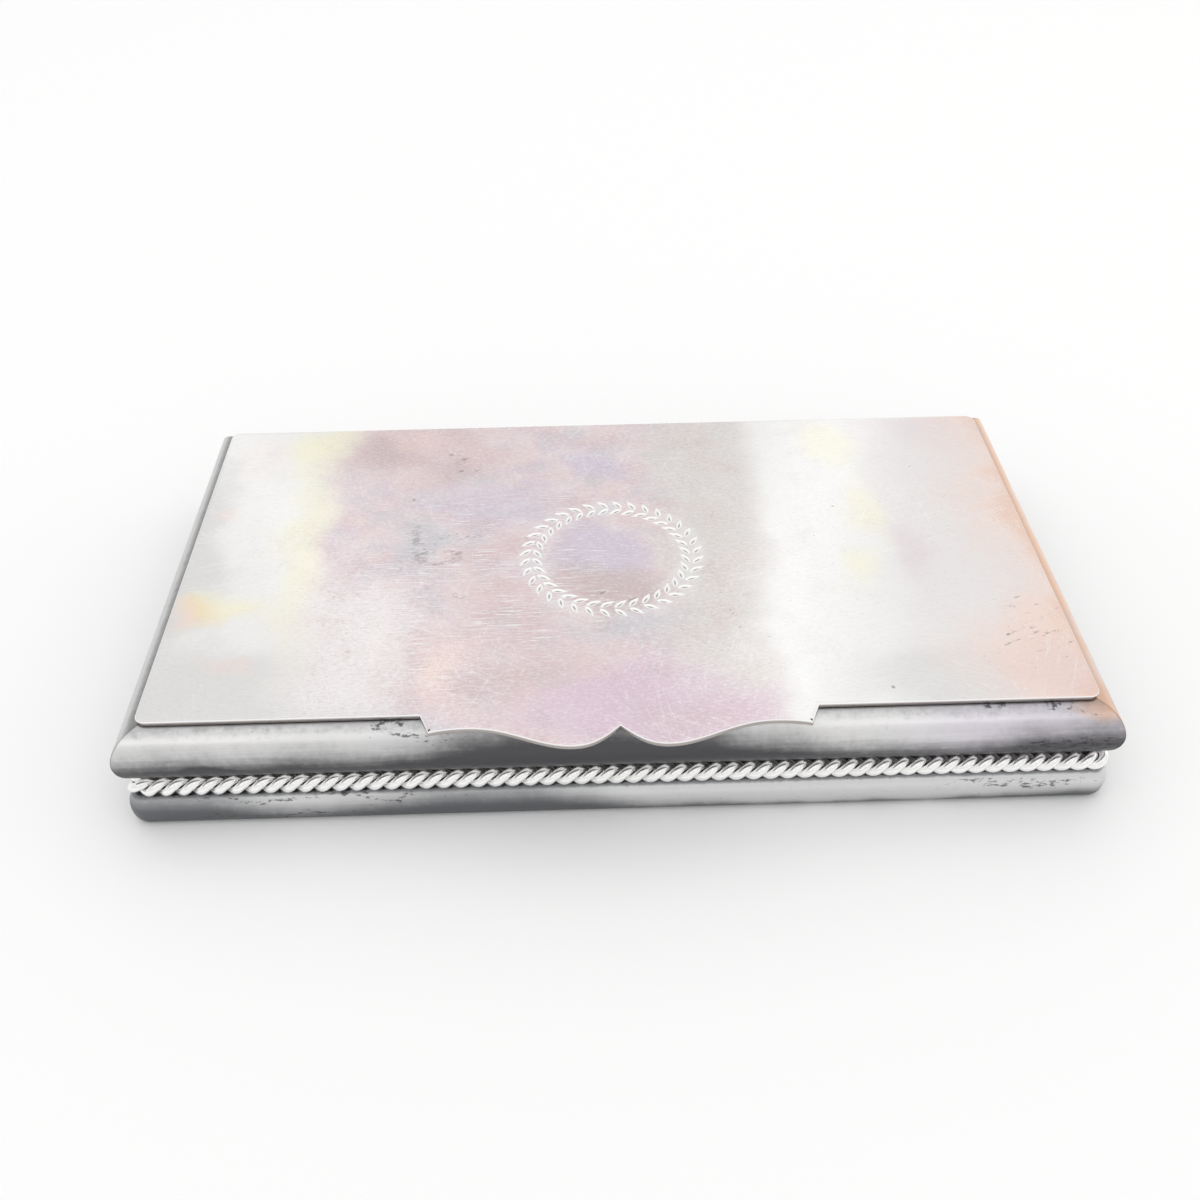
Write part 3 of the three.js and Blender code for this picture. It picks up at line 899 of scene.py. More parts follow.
@dataclass(frozen=True)
class PaleFloor(Finish):
    """A pale paper sweep."""

    tone: Colour = (0.97, 0.97, 0.97)
    shade: Colour = (0.88, 0.88, 0.88)
    shade_strength: float = 0.04
    roughness: float = 0.9
    tooth: Texture = Texture.even(0.004)

    def dress(self, shader: Shader) -> Mapping[str, Number | Tone]:
        """Gives the paper a faint tooth.

        Args:
            shader: The floor's node tree.

        Returns:
            What the surface's sockets get, by their names.
        """
        tooth = self.tooth.on(shader, shader.place())
        colour = shader.mix(tooth * self.shade_strength, self.tone, self.shade)
        return {"Base Color": colour, "Roughness": self.roughness}


def arc(centre: Vector, radii: tuple[float, float], start: float, end: float, steps: int) -> list[Vector]:
    """Points on an elliptical arc, with both of its ends.

    Args:
        centre: The ellipse's centre.
        radii: Its two half axes.
        start: The first angle.
        end: The last angle.
        steps: The number of chords.

    Returns:
        One more point than there are chords.
    """
    angles = (start + (end - start) * i / steps for i in range(steps + 1))
    return [centre + Vector((radii[0] * math.cos(a), radii[1] * math.sin(a))) for a in angles]


def circle(centre: Vector, radius: float, sides: int) -> list[Vector]:
    """The corners of a circle, anticlockwise."""
    return arc(centre, (radius, radius), 0.0, TURN, sides)[:-1]


def bezier(controls: Sequence[Vector], steps: int) -> list[Vector]:
    """Points on a Bezier curve, without its last one, which starts the next curve.

    Args:
        controls: The curve's control points.
        steps: The number of chords.

    Returns:
        As many points as there are chords.
    """
    points = []
    for i in range(steps):
        row = list(controls)
        while len(row) > 1:
            row = [a.lerp(b, i / steps) for a, b in zip(row, row[1:])]
        points.append(row[0])
    return points


def inset(outline: Sequence[Vector], distance: float) -> list[Vector]:
    """Moves an anticlockwise outline inward, keeping its sides parallel.

    Args:
        outline: The outline's corners.
        distance: How far the sides move.

    Returns:
        The moved corners, one for each.
    """
    moved = []
    for i, here in enumerate(outline):
        before = (here - outline[i - 1]).normalized()
        after = (outline[(i + 1) % len(outline)] - here).normalized()
        normals = [Vector((-side.y, side.x)) for side in (before, after)]
        middle = (normals[0] + normals[1]).normalized()
        moved.append(here + middle * (distance / max(LEAST_MITRE, middle.dot(normals[0]))))
    return moved


Ring = list[bmesh.types.BMVert]


class Draft:
    """A mesh in the making, skinned from closed rings of points."""

    def __init__(self) -> None:
        """Starts with an empty mesh."""
        self.mesh = bmesh.new()

    def ring(self, points: Iterable[Vector]) -> Ring:
        """Adds the corners of a ring, with no faces yet."""
        return [self.mesh.verts.new(point) for point in points]

    def cross_ring(self, x: float, section: Iterable[Vector]) -> Ring:
        """Adds a ring across the box, at a place along X."""
        return self.ring(Vector((x, p.x, p.y)) for p in section)

    def skin(self, rings: Sequence[Ring], closed: bool = False) -> None:
        """Joins each ring to the next.

        Args:
            rings: Rings with the same number of corners.
            closed: Whether the last ring is joined to the first.
        """
        pairs = zip(rings, [*rings[1:], rings[0]]) if closed else zip(rings, rings[1:])
        for here, there in pairs:
            for k, corner in enumerate(here):
                last = k - 1
                self.mesh.faces.new((here[last], corner, there[k], there[last]))

    def cap(self, ring: Ring) -> None:
        """Closes a ring with one face."""
        self.mesh.faces.new(ring)

    def solid(self, rings: Sequence[Ring]) -> None:
        """Joins each ring to the next and closes both ends."""
        self.skin(rings)
        self.cap(rings[0])
        self.cap(rings[-1])

    def crease(self, ring: Ring) -> None:
        """Keeps the edges round a ring sharp."""
        for k, corner in enumerate(ring):
            self.mesh.edges.get((ring[k - 1], corner)).smooth = False

    def turn(self, angle: float) -> None:
        """Turns all that is drafted about the frame's Z axis."""
        bmesh.ops.rotate(self.mesh, verts=self.mesh.verts, matrix=Matrix.Rotation(angle, 3, "Z"))

    def bare(self, name: str) -> bpy.types.Object:
        """Makes the object: faces outward, smooth but for the sharp edges.

        Args:
            name: The object's name.

        Returns:
            An object that is in the scene and has no material yet.
        """
        bmesh.ops.recalc_face_normals(self.mesh, faces=self.mesh.faces)
        for face in self.mesh.faces:
            face.smooth = True
        for edge in self.mesh.edges:
            if edge.is_manifold and edge.calc_face_angle() > SHARP_ANGLE:
                edge.smooth = False
        data = bpy.data.meshes.new(name)
        self.mesh.to_mesh(data)
        self.mesh.free()
        made = bpy.data.objects.new(name, data)
        bpy.context.scene.collection.objects.link(made)
        return made


@dataclass(frozen=True)
class Piece:
    """One visible piece: the node that it stands for, the body that carries it and its finish."""

    node: str
    body: Body
    slot: Slot
    finish: Finish

    @property
    def name(self) -> str:
        """The piece's name in the scene."""
        return f"fine_{self.node}"

    def settle(self, made: bpy.types.Object) -> bpy.types.Object:
        """Finishes an object and lets it ride in the node's stead."""
        made.data.materials.append(self.finish.material())
        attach(made, self.body.value)
        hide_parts(self.node)
        LOG.info("%s: %d faces, rides on %s", made.name, len(made.data.polygons), self.body.value)
        return made

    def build(self, draft: Draft) -> bpy.types.Object:
        """Makes the drafted mesh into the piece."""
        return self.settle(draft.bare(self.name))


def dress_node(node: str, finish: Finish, edge: float) -> None:
    """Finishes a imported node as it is, with its edges eased.

    Args:
        node: The node's name.
        finish: The finish that it gets.
        edge: The width that its edges are eased by.
    """
    target = frame["nodes"][node]
    target.data.materials.clear()
    target.data.materials.append(finish.material())
    target.modifiers.new("weld", "WELD").merge_threshold = WELD_REACH
    ease = target.modifiers.new("ease", "BEVEL")
    ease.width = edge
    ease.segments = 2
    ease.limit_method = "ANGLE"
    ease.angle_limit = SHARP_ANGLE
    LOG.info("%s: kept, %s", node, finish.name)


@dataclass(frozen=True)
class Plan:
    """What the border pieces share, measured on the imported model."""

    half_length: float
    half_depth: float
    wall_inside: float
    wall_outside: float
    foot_corner_centre: float
    seam: float = 0.0001

    @classmethod
    def measured(cls, foot_corner_radius: float = 0.0032) -> "Plan":
        """Reads the plan from the frame.

        Args:
            foot_corner_radius: The foot band's radius at its outermost, seen from above.

        Returns:
            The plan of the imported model.
        """
        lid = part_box("lid_plate")[1]
        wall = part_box("body_wall")[1]
        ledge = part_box("moulding_front")[1]
        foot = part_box("foot_band")[1]
        return cls(
            half_length=lid.x,
            half_depth=lid.y,
            wall_inside=-ledge.y - lid.y,
            wall_outside=wall.x - lid.x,
            foot_corner_centre=foot.x - lid.x - foot_corner_radius,
        )


@dataclass
class MouldingFrame:
    """Four mitred lengths of hollow convex moulding, with the ledge that the lid rests on."""

    plan: Plan
    bulge: float = 0.005
    sheet: float = 0.001
    nose: float = 0.0003
    mitre_seam: float = 0.00005
    mitre_ease: float = 0.00012
    bed_play: float = 0.0001
    bed_sides: int = 64
    nose_steps: int = 4
    curve_steps: int = 40
    nodes: ClassVar[dict[Side, str]] = {side: f"moulding_{side.name.lower()}" for side in Side}

    def __post_init__(self) -> None:
        """Reads the heights and the overhang from the frame."""
        low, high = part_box(self.nodes[Side.FRONT])
        self.bottom = low.z
        self.ledge = high.z
        self.overhang = -low.y - self.plan.half_depth
        self.heart = Vector((self.overhang - self.bulge, (low.z + high.z) / 2))

    def section(self) -> list[Vector]:
        """The strip's closed section in offset and height: return, bulge, ledge and the hollow behind."""
        half = (self.ledge - self.bottom) / 2
        end = self.plan.wall_outside + self.plan.seam
        edge = self.plan.wall_inside
        hollow = (self.bulge - self.sheet, half - self.sheet)
        nose = Vector((edge + self.nose, self.ledge - self.nose))
        return [
            Vector((end, self.bottom + self.sheet)),
            Vector((end, self.bottom)),
            *arc(self.heart, (self.bulge, half), -QUARTER, QUARTER, self.curve_steps),
            *arc(nose, (self.nose, self.nose), QUARTER, HALF_TURN, self.nose_steps),
            Vector((edge, self.ledge - self.sheet)),
            *arc(self.heart, hollow, QUARTER, -QUARTER, self.curve_steps),
        ]

    def length(self, along: float, across: float) -> Draft:
        """A length on the front side, mitred at both ends, with the mitre's arris eased.

        Args:
            along: Half the lid's outline along the length.
            across: Half of it the other way.

        Returns:
            The drafted length.
        """
        draft = Draft()
        full = self.section()
        shrink = 1.0 - self.mitre_ease / self.bulge
        eased = [self.heart + (point - self.heart) * shrink for point in full]

        def end(section: list[Vector], side: int, back: float) -> Ring:
            """One end's ring, set back from the mitre."""
            reach = along - self.mitre_seam - back
            return draft.ring(Vector((side * (reach + p.x), -across - p.x, p.y)) for p in section)

        rings = [
            end(eased, -1, 0.0),
            end(full, -1, self.mitre_ease),
            end(full, 1, self.mitre_ease),
            end(eased, 1, 0.0),
        ]
        draft.solid(rings)
        return draft

    def build(self, finishes: Mapping[Side, Finish]) -> None:
        """Makes the four lengths and cuts the hinge's bed in the back one."""
        for side, node in self.nodes.items():
            halves = (self.plan.half_length, self.plan.half_depth)
            along, across = halves if side in (Side.FRONT, Side.BACK) else halves[::-1]
            draft = self.length(along, across)
            draft.turn(side.value * QUARTER)
            piece = Piece(node, Body.BOX, Slot.BORDER, finishes[side])
            made = draft.bare(piece.name)
            if side is Side.BACK:
                self.cut_bed(made)
            piece.settle(made)

    def cut_bed(self, made: bpy.types.Object) -> None:
        """Cuts the round bed that the hinge lies in."""
        low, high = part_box("hinge_channel")
        _, middle, height = frame["joints"][0]["pos_m"]
        radius = height - low.z + self.bed_play
        draft = Draft()
        ends = (low.x - self.bed_play, high.x + self.bed_play)
        bed = circle(Vector((middle, height)), radius, self.bed_sides)
        draft.solid([draft.cross_ring(x, bed) for x in ends])
        tool = draft.bare("hinge_bed")
        cut = made.modifiers.new("bed", "BOOLEAN")
        cut.object = tool
        cut.operation = "DIFFERENCE"
        cut.solver = "EXACT"
        graph = bpy.context.evaluated_depsgraph_get()
        made.data = bpy.data.meshes.new_from_object(made.evaluated_get(graph))
        made.modifiers.clear()
        bpy.data.objects.remove(tool)


def swept_round(plan: Plan, section: Sequence[Vector], corner_centre: float, steps: int) -> Draft:
    """Carries a section round the box.

    Args:
        plan: The box's plan.
        section: The closed section in offset and height.
        corner_centre: The offset that the corners turn about; what lies inside it stays square.
        steps: The chords of each corner.

    Returns:
        The drafted ring.
    """
    draft = Draft()
    rings = []
    for quarter, (side_x, side_y) in enumerate(((1, 1), (-1, 1), (-1, -1), (1, -1))):
        for step in range(steps + 1):
            angle = (quarter + step / steps) * QUARTER
            points = []
            for p in section:
                radius = max(0.0, p.x - corner_centre)
                square = min(p.x, corner_centre)
                x = side_x * (plan.half_length + square) + radius * math.cos(angle)
                y = side_y * (plan.half_depth + square) + radius * math.sin(angle)
                points.append(Vector((x, y, p.y)))
            rings.append(draft.ring(points))
    draft.skin(rings, closed=True)
    return draft


@dataclass
class FootBand:
    """The formed band that the box stands on: shelf, bulging face and lip."""

    plan: Plan
    bulge: float = 0.0016
    sheet: float = 0.0008
    lip: float = 0.0008
    merge_reach: float = 1e-7
    curve_steps: int = 24
    corner_steps: int = 16
    node: ClassVar[str] = "foot_band"

    def section(self) -> list[Vector]:
        """The band's closed section in offset and height."""
        _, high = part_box(self.node)
        half = high.z / 2
        heart = Vector((high.x - self.plan.half_length - self.bulge, half))
        lip_end = heart.x - self.lip
        shelf_end = self.plan.wall_outside + self.plan.seam
        hollow = (self.bulge - self.sheet, half - self.sheet)
        return [
            Vector((lip_end, self.sheet)),
            Vector((lip_end, 0.0)),
            *arc(heart, (self.bulge, half), -QUARTER, QUARTER, self.curve_steps),
            Vector((shelf_end, high.z)),
            Vector((shelf_end, high.z - self.sheet)),
            *arc(heart, hollow, QUARTER, -QUARTER, self.curve_steps),
        ]

    def build(self, finish: Finish) -> None:
        """Sweeps the section round the box."""
        draft = swept_round(self.plan, self.section(), self.plan.foot_corner_centre, self.corner_steps)
        bmesh.ops.remove_doubles(draft.mesh, verts=draft.mesh.verts, dist=self.merge_reach)
        Piece(self.node, Body.BOX, Slot.BORDER, finish).build(draft)


@dataclass
class RopeBorder:
    """Two round wires twisted into a rope that runs once round the box on the foot's shelf."""

    plan: Plan
    strand_diameter: float = 0.0017
    strand_gap: float = 0.00005
    lead: float = 0.006
    overhang: float = 0.0042
    corner: float = 0.002
    butt_gap: float = 0.0003
    sides: int = 12
    steps_per_turn: int = 20
    nodes: ClassVar[tuple[str, ...]] = ("rope_strand_a", "rope_strand_b")

    def __post_init__(self) -> None:
        """Works out the rope's centre line from the foot's shelf and the plan."""
        self.strand_radius = self.strand_diameter / 2
        self.twist_radius = self.strand_radius + self.strand_gap / 2
        rope_radius = self.twist_radius + self.strand_radius
        offset = self.overhang - rope_radius
        self.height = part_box(FootBand.node)[1].z + self.plan.seam + rope_radius
        self.straight_x = self.plan.half_length + offset - self.corner
        self.straight_y = self.plan.half_depth + offset - self.corner

    def route_length(self) -> float:
        """The length of the rope's centre line."""
        return 4 * (self.straight_x + self.straight_y) + TURN * self.corner

    def route(self, distance: float) -> tuple[Vector, Vector]:
        """Follows the centre line from the middle of the back, by the left, front and right.

        Args:
            distance: How far along the line.

        Returns:
            The point there and the outward direction.
        """
        heading = Vector((-1.0, 0.0))
        here = Vector((0.0, self.straight_y + self.corner))
        for straight in (self.straight_x, 2 * self.straight_y, 2 * self.straight_x, 2 * self.straight_y):
            outward = Vector((heading.y, -heading.x))
            if distance <= straight:
                return here + heading * distance, outward
            here = here + heading * straight
            distance -= straight
            pivot = here - outward * self.corner
            angle = min(distance / self.corner, QUARTER)
            outward = Matrix.Rotation(angle, 2) @ outward
            if angle < QUARTER:
                return pivot + outward * self.corner, outward
            here = pivot + outward * self.corner
            distance -= QUARTER * self.corner
            heading = Vector((-outward.y, outward.x))
        return here + heading * distance, Vector((heading.y, -heading.x))

    def radial(self, share: float, turns: int, phase: float) -> tuple[Vector, Vector]:
        """Where the twist stands at a share of the way round.

        Args:
            share: The share of the route, from 0 to 1.
            turns: The turns that the whole rope makes.
            phase: The strand's own angle.

        Returns:
            The centre line's point and the direction from it to the strand.
        """
        centre, outward = self.route(share * (self.route_length() - self.butt_gap))
        angle = phase + TURN * turns * share
        radial = Vector((*(outward * math.cos(angle)), math.sin(angle)))
        return Vector((*centre, self.height)), radial

    def strand(self, phase: float) -> Draft:
        """One strand, with the share of its crown kept at each corner."""
        draft = Draft()
        crown = draft.mesh.verts.layers.float.new(RopeSilver.crown)
        turns = round(self.route_length() / self.lead)
        count = turns * self.steps_per_turn
        marks = [self.radial(i / count, turns, phase) for i in range(count + 1)]
        spine = [centre + radial * self.twist_radius for centre, radial in marks]
        rings = []
        for i, (_, radial) in enumerate(marks):
            tangent = (spine[min(i + 1, count)] - spine[max(i - 1, 0)]).normalized()
            normal = (radial - tangent * radial.dot(tangent)).normalized()
            side = tangent.cross(normal)
            ring = []
            for k in range(self.sides):
                angle = TURN * k / self.sides
                around = normal * math.cos(angle) + side * math.sin(angle)
                corner = draft.mesh.verts.new(spine[i] + around * self.strand_radius)
                corner[crown] = 0.5 + 0.5 * math.cos(angle)
                ring.append(corner)
            rings.append(ring)
        draft.solid(rings)
        return draft

    def build(self, finish: Finish) -> None:
        """Makes both strands, half a turn apart."""
        for k, node in enumerate(self.nodes):
            Piece(node, Body.BOX, Slot.ROPE, finish).build(self.strand(HALF_TURN * k))


@dataclass(frozen=True)
class Wreath:
    """A plain ring of engraved leaves, in two slanting rows."""

    centre: tuple[float, float] = (0.0, -0.0026)
    radius: float = 0.0156
    spread: float = 0.00012
    leaf_length: float = 0.0034
    leaf_width: float = 0.0013
    depth: float = 0.00022
    pairs: int = 36
    slant: float = math.radians(42)
    fullness: float = 0.8
    stations: int = 8

    def leaves(self) -> Iterable[tuple[Vector, Vector]]:
        """The foot of each leaf and the direction that it points in."""
        for k in range(2 * self.pairs):
            outer = k % 2 == 0
            angle = TURN * (k // 2) / self.pairs
            radial = Vector((math.cos(angle), math.sin(angle)))
            around = Vector((-radial.y, radial.x))
            row = 1.0 if outer else -1.0
            foot = Vector(self.centre) + radial * (self.radius + row * self.spread)
            yield foot, around * math.cos(self.slant) + radial * row * math.sin(self.slant)

    def engrave(self, draft: Draft, top: float) -> list[Ring]:
        """Cuts every leaf as a shallow groove with a keel.

        Args:
            draft: The plate's mesh.
            top: The height of the plate's face.

        Returns:
            The leaves' outlines, to be left open in that face.
        """
        outlines = []
        for foot, direction in self.leaves():
            across = Vector((-direction.y, direction.x))
            left, right, keel = [], [], []
            for i in range(self.stations + 1):
                share = i / self.stations
                full = math.sin(HALF_TURN * share ** self.fullness)
                middle = foot + direction * (self.leaf_length * share)
                wide = across * (self.leaf_width / 2 * full)
                if i in (0, self.stations):
                    tip = draft.mesh.verts.new((*middle, top))
                    left.append(tip)
                    right.append(tip)
                    keel.append(tip)
                    continue
                left.append(draft.mesh.verts.new((*(middle + wide), top)))
                right.append(draft.mesh.verts.new((*(middle - wide), top)))
                keel.append(draft.mesh.verts.new((*middle, top - self.depth * full)))
            for side in (left, right):
                for i in range(self.stations):
                    corners = dict.fromkeys((side[i], side[i + 1], keel[i + 1], keel[i]))
                    draft.mesh.faces.new(list(corners))
            outlines.append([*left, *right[-2:0:-1]])
        return outlines


@dataclass
class LidPlate:
    """The flat plate with its thumb tab, its edges eased and its face engraved."""

    plan: Plan
    wreath: Wreath = field(default_factory=Wreath)
    corner_radius: float = 0.002
    tab_length: float = 0.068
    lobe_offset: float = 0.0081
    cusp_reach: float = 0.0036
    shoulder_reach: float = 0.0034
    nib_reach: float = 0.0042
    end_run: float = 0.0082
    end_slant: float = 0.0017
    cusp_handle: tuple[float, float] = (1 / 3, 0.6)
    lobe_handle: float = 0.57
    waist_handles: tuple[float, float] = (1 / 3, 0.6)
    top_edge: float = 0.00026
    bottom_edge: float = 0.00014
    flat_start: float = 3.0
    edge_steps: int = 4
    curve_steps: int = 24
    node: ClassVar[str] = "lid_plate"

    def outline(self) -> list[Vector]:
        """The plate's outline, anticlockwise from the cusp: the right half, then its mirror image."""
        front = -self.plan.half_depth
        lobe = -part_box(self.node)[0].y - self.plan.half_depth
        end = self.tab_length / 2
        shoulder = end - self.end_run
        run = shoulder - self.lobe_offset
        rise = lobe - self.cusp_reach

        def at(x: float, reach: float) -> Vector:
            """A point beside the cusp, at a reach forward from the front edge."""
            return Vector((x, front - reach))

        cusp = at(0.0, self.cusp_reach)
        crest = at(self.lobe_offset, lobe)
        hollow = at(shoulder, self.shoulder_reach)
        nib = at(end - self.end_slant, self.nib_reach)
        run_out, run_up = self.cusp_handle
        leave = at(self.lobe_offset * run_out, self.cusp_reach + rise * run_up)
        arrive = at(self.lobe_offset * self.lobe_handle, lobe)
        fall = at(self.lobe_offset + run * self.waist_handles[0], lobe)
        level = at(self.lobe_offset + run * self.waist_handles[1], self.shoulder_reach)
        ease = at(shoulder + self.end_run / 2, self.shoulder_reach)
        radius = self.corner_radius
        far = Vector((self.plan.half_length - radius, self.plan.half_depth - radius))
        right = [
            *bezier((cusp, leave, arrive, crest), self.curve_steps),
            *bezier((crest, fall, level, hollow), self.curve_steps),
            *bezier((hollow, ease, nib), self.curve_steps),
            nib,
            at(end, 0.0),
            *arc(Vector((far.x, -far.y)), (radius, radius), -QUARTER, 0.0, self.curve_steps // 2),
            *arc(far, (radius, radius), 0.0, QUARTER, self.curve_steps // 2),
        ]
        return [*right, *(Vector((-p.x, p.y)) for p in reversed(right[1:]))]

    def edge(self) -> list[tuple[float, float]]:
        """The plate's edge as inset and height, from under the plate to the top."""
        low, high = (corner.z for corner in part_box(self.node))
        under = Vector((self.bottom_edge, low + self.bottom_edge))
        over = Vector((self.top_edge, high - self.top_edge))
        lower = arc(under, (self.bottom_edge,) * 2, -QUARTER, -HALF_TURN, self.edge_steps)
        upper = arc(over, (self.top_edge,) * 2, HALF_TURN, QUARTER, self.edge_steps)
        first = Vector((self.flat_start * self.bottom_edge, low))
        last = Vector((self.flat_start * self.top_edge, high))
        return [(row.x, row.y) for row in (first, *lower, *upper, last)]

    def build(self, finish: Finish) -> bpy.types.Object:
        """Skins the edge, closes the underside and lays the engraved face.

        Args:
            finish: The plate's finish.

        Returns:
            The plate.
        """
        draft = Draft()
        outline = self.outline()
        rings = []
        for distance, height in self.edge():
            rings.append(draft.ring(Vector((*p, height)) for p in inset(outline, distance)))
        draft.skin(rings)
        draft.cap(rings[0])
        leaves = self.wreath.engrave(draft, rings[-1][0].co.z)
        loops = [rings[-1], *leaves]
        corners = [corner for loop in loops for corner in loop]
        for triangle in tessellate_polygon([[corner.co for corner in loop] for loop in loops]):
            draft.mesh.faces.new([corners[i] for i in triangle])
        for leaf in leaves:
            draft.crease(leaf)
        return Piece(self.node, Body.LID, Slot.LID, finish).build(draft)


@dataclass
class Hinge:
    """Knuckles on a pin, lying in a channel under a bearer that belongs to the lid."""

    seam: float = 0.0001
    play: float = 0.0001
    sheet: float = 0.0007
    end_ease: float = 0.00012
    pin_play: float = 0.00005
    inner_lip: float = math.radians(172)
    outer_lip: float = math.radians(340)
    lip_play: float = math.radians(4)
    body_knuckles: int = 5
    lid_knuckles: int = 4
    sides: int = 40

    def __post_init__(self) -> None:
        """Reads the axis and the radii from the frame."""
        _, self.y, self.z = frame["joints"][0]["pos_m"]
        self.knuckle_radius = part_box("lid_plate")[0].z - self.seam - self.z
        self.pin_radius = (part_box("hinge_pin")[1].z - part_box("hinge_pin")[0].z) / 2
        self.inside = self.knuckle_radius + self.play
        self.outside = self.inside + self.sheet

    def turned(self, profile: Sequence[tuple[float, float]], closed: bool) -> Draft:
        """A solid turned about the hinge axis.

        Args:
            profile: Places along X and radii.
            closed: Whether the profile comes back to its start, as round a bore.

        Returns:
            The drafted solid.
        """
        draft = Draft()
        heart = Vector((self.y, self.z))
        rings = [draft.cross_ring(x, circle(heart, radius, self.sides)) for x, radius in profile]
        if closed:
            draft.skin(rings, closed)
        else:
            draft.solid(rings)
        return draft

    def rod(self, node: str, radius: float) -> list[tuple[float, float]]:
        """The profile of a rod with eased ends, as long as its node."""
        low, high = (corner.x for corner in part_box(node))
        ease = self.end_ease
        return [(low, radius - ease), (low + ease, radius), (high - ease, radius), (high, radius - ease)]

    def knuckle(self, node: str) -> Draft:
        """A short tube round the pin."""
        rod = self.rod(node, self.knuckle_radius)
        bore = self.pin_radius + self.pin_play
        return self.turned([*rod, (rod[-1][0], bore), (rod[0][0], bore)], closed=True)

    def trough(self, node: str, outer: tuple[float, float], inner: tuple[float, float]) -> Draft:
        """A sector of the tube that the knuckles turn in.

        Args:
            node: The node that gives its length.
            outer: The first and last angle of its outer face.
            inner: The first and last angle of its inner face.

        Returns:
            The drafted sector.
        """
        draft = Draft()
        heart = Vector((self.y, self.z))
        section = [
            *arc(heart, (self.outside,) * 2, *outer, self.sides),
            *arc(heart, (self.inside,) * 2, *inner[::-1], self.sides),
        ]
        draft.solid([draft.cross_ring(corner.x, section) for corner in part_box(node)])
        return draft

    def build(self, finish: Finish) -> None:
        """Makes the channel, bearer, pin and knuckles on the bodies that carry them."""
        lips = (self.inner_lip, self.outer_lip)
        channel = self.trough("hinge_channel", lips, lips)
        Piece("hinge_channel", Body.BOX, Slot.HINGE, finish).build(channel)
        flat = [HALF_TURN - math.asin(self.knuckle_radius / r) for r in (self.outside, self.inside)]
        lip = self.inner_lip - self.lip_play
        bearer = self.trough("hinge_bearer", (flat[0], lip), (flat[1], lip))
        Piece("hinge_bearer", Body.LID, Slot.HINGE, finish).build(bearer)
        pin = self.turned(self.rod("hinge_pin", self.pin_radius), closed=False)
        Piece("hinge_pin", Body.BOX, Slot.HINGE, finish).build(pin)
        sets = ((Body.BOX, "body", self.body_knuckles), (Body.LID, "lid", self.lid_knuckles))
        for body, word, count in sets:
            for k in range(count):
                node = f"hinge_knuckle_{word}_{k + 1}"
                Piece(node, body, Slot.HINGE, finish).build(self.knuckle(node))


@dataclass(frozen=True)
class Softbox:
    """A rectangular light that faces the box."""

    name: str
    centre: tuple[float, float, float]
    size: tuple[float, float]
    radiance: float
    lean: float = 0.0
    tint: Colour = (1.0, 1.0, 1.0)
    on_lid: bool = False

    def build(self, spared: bpy.types.Collection) -> None:
        """Hangs the light, turned to the middle of the box and leaning to a side.

        Args:
            spared: The pieces that it stays off, unless it is meant for the lid.
        """
        light = bpy.data.lights.new(self.name, "AREA")
        light.shape = "RECTANGLE"
        light.size, light.size_y = self.size
        light.energy = self.radiance * math.pi * self.size[0] * self.size[1]
        light.color = self.tint
        made = bpy.data.objects.new(self.name, light)
        bpy.context.scene.collection.objects.link(made)
        made.location = self.centre
        facing = Vector(self.centre).to_track_quat("Z", "Y")
        made.rotation_euler = (facing @ Quaternion((0.0, 0.0, 1.0), self.lean)).to_euler()
        made.visible_camera = False
        if not self.on_lid:
            made.light_linking.receiver_collection = spared


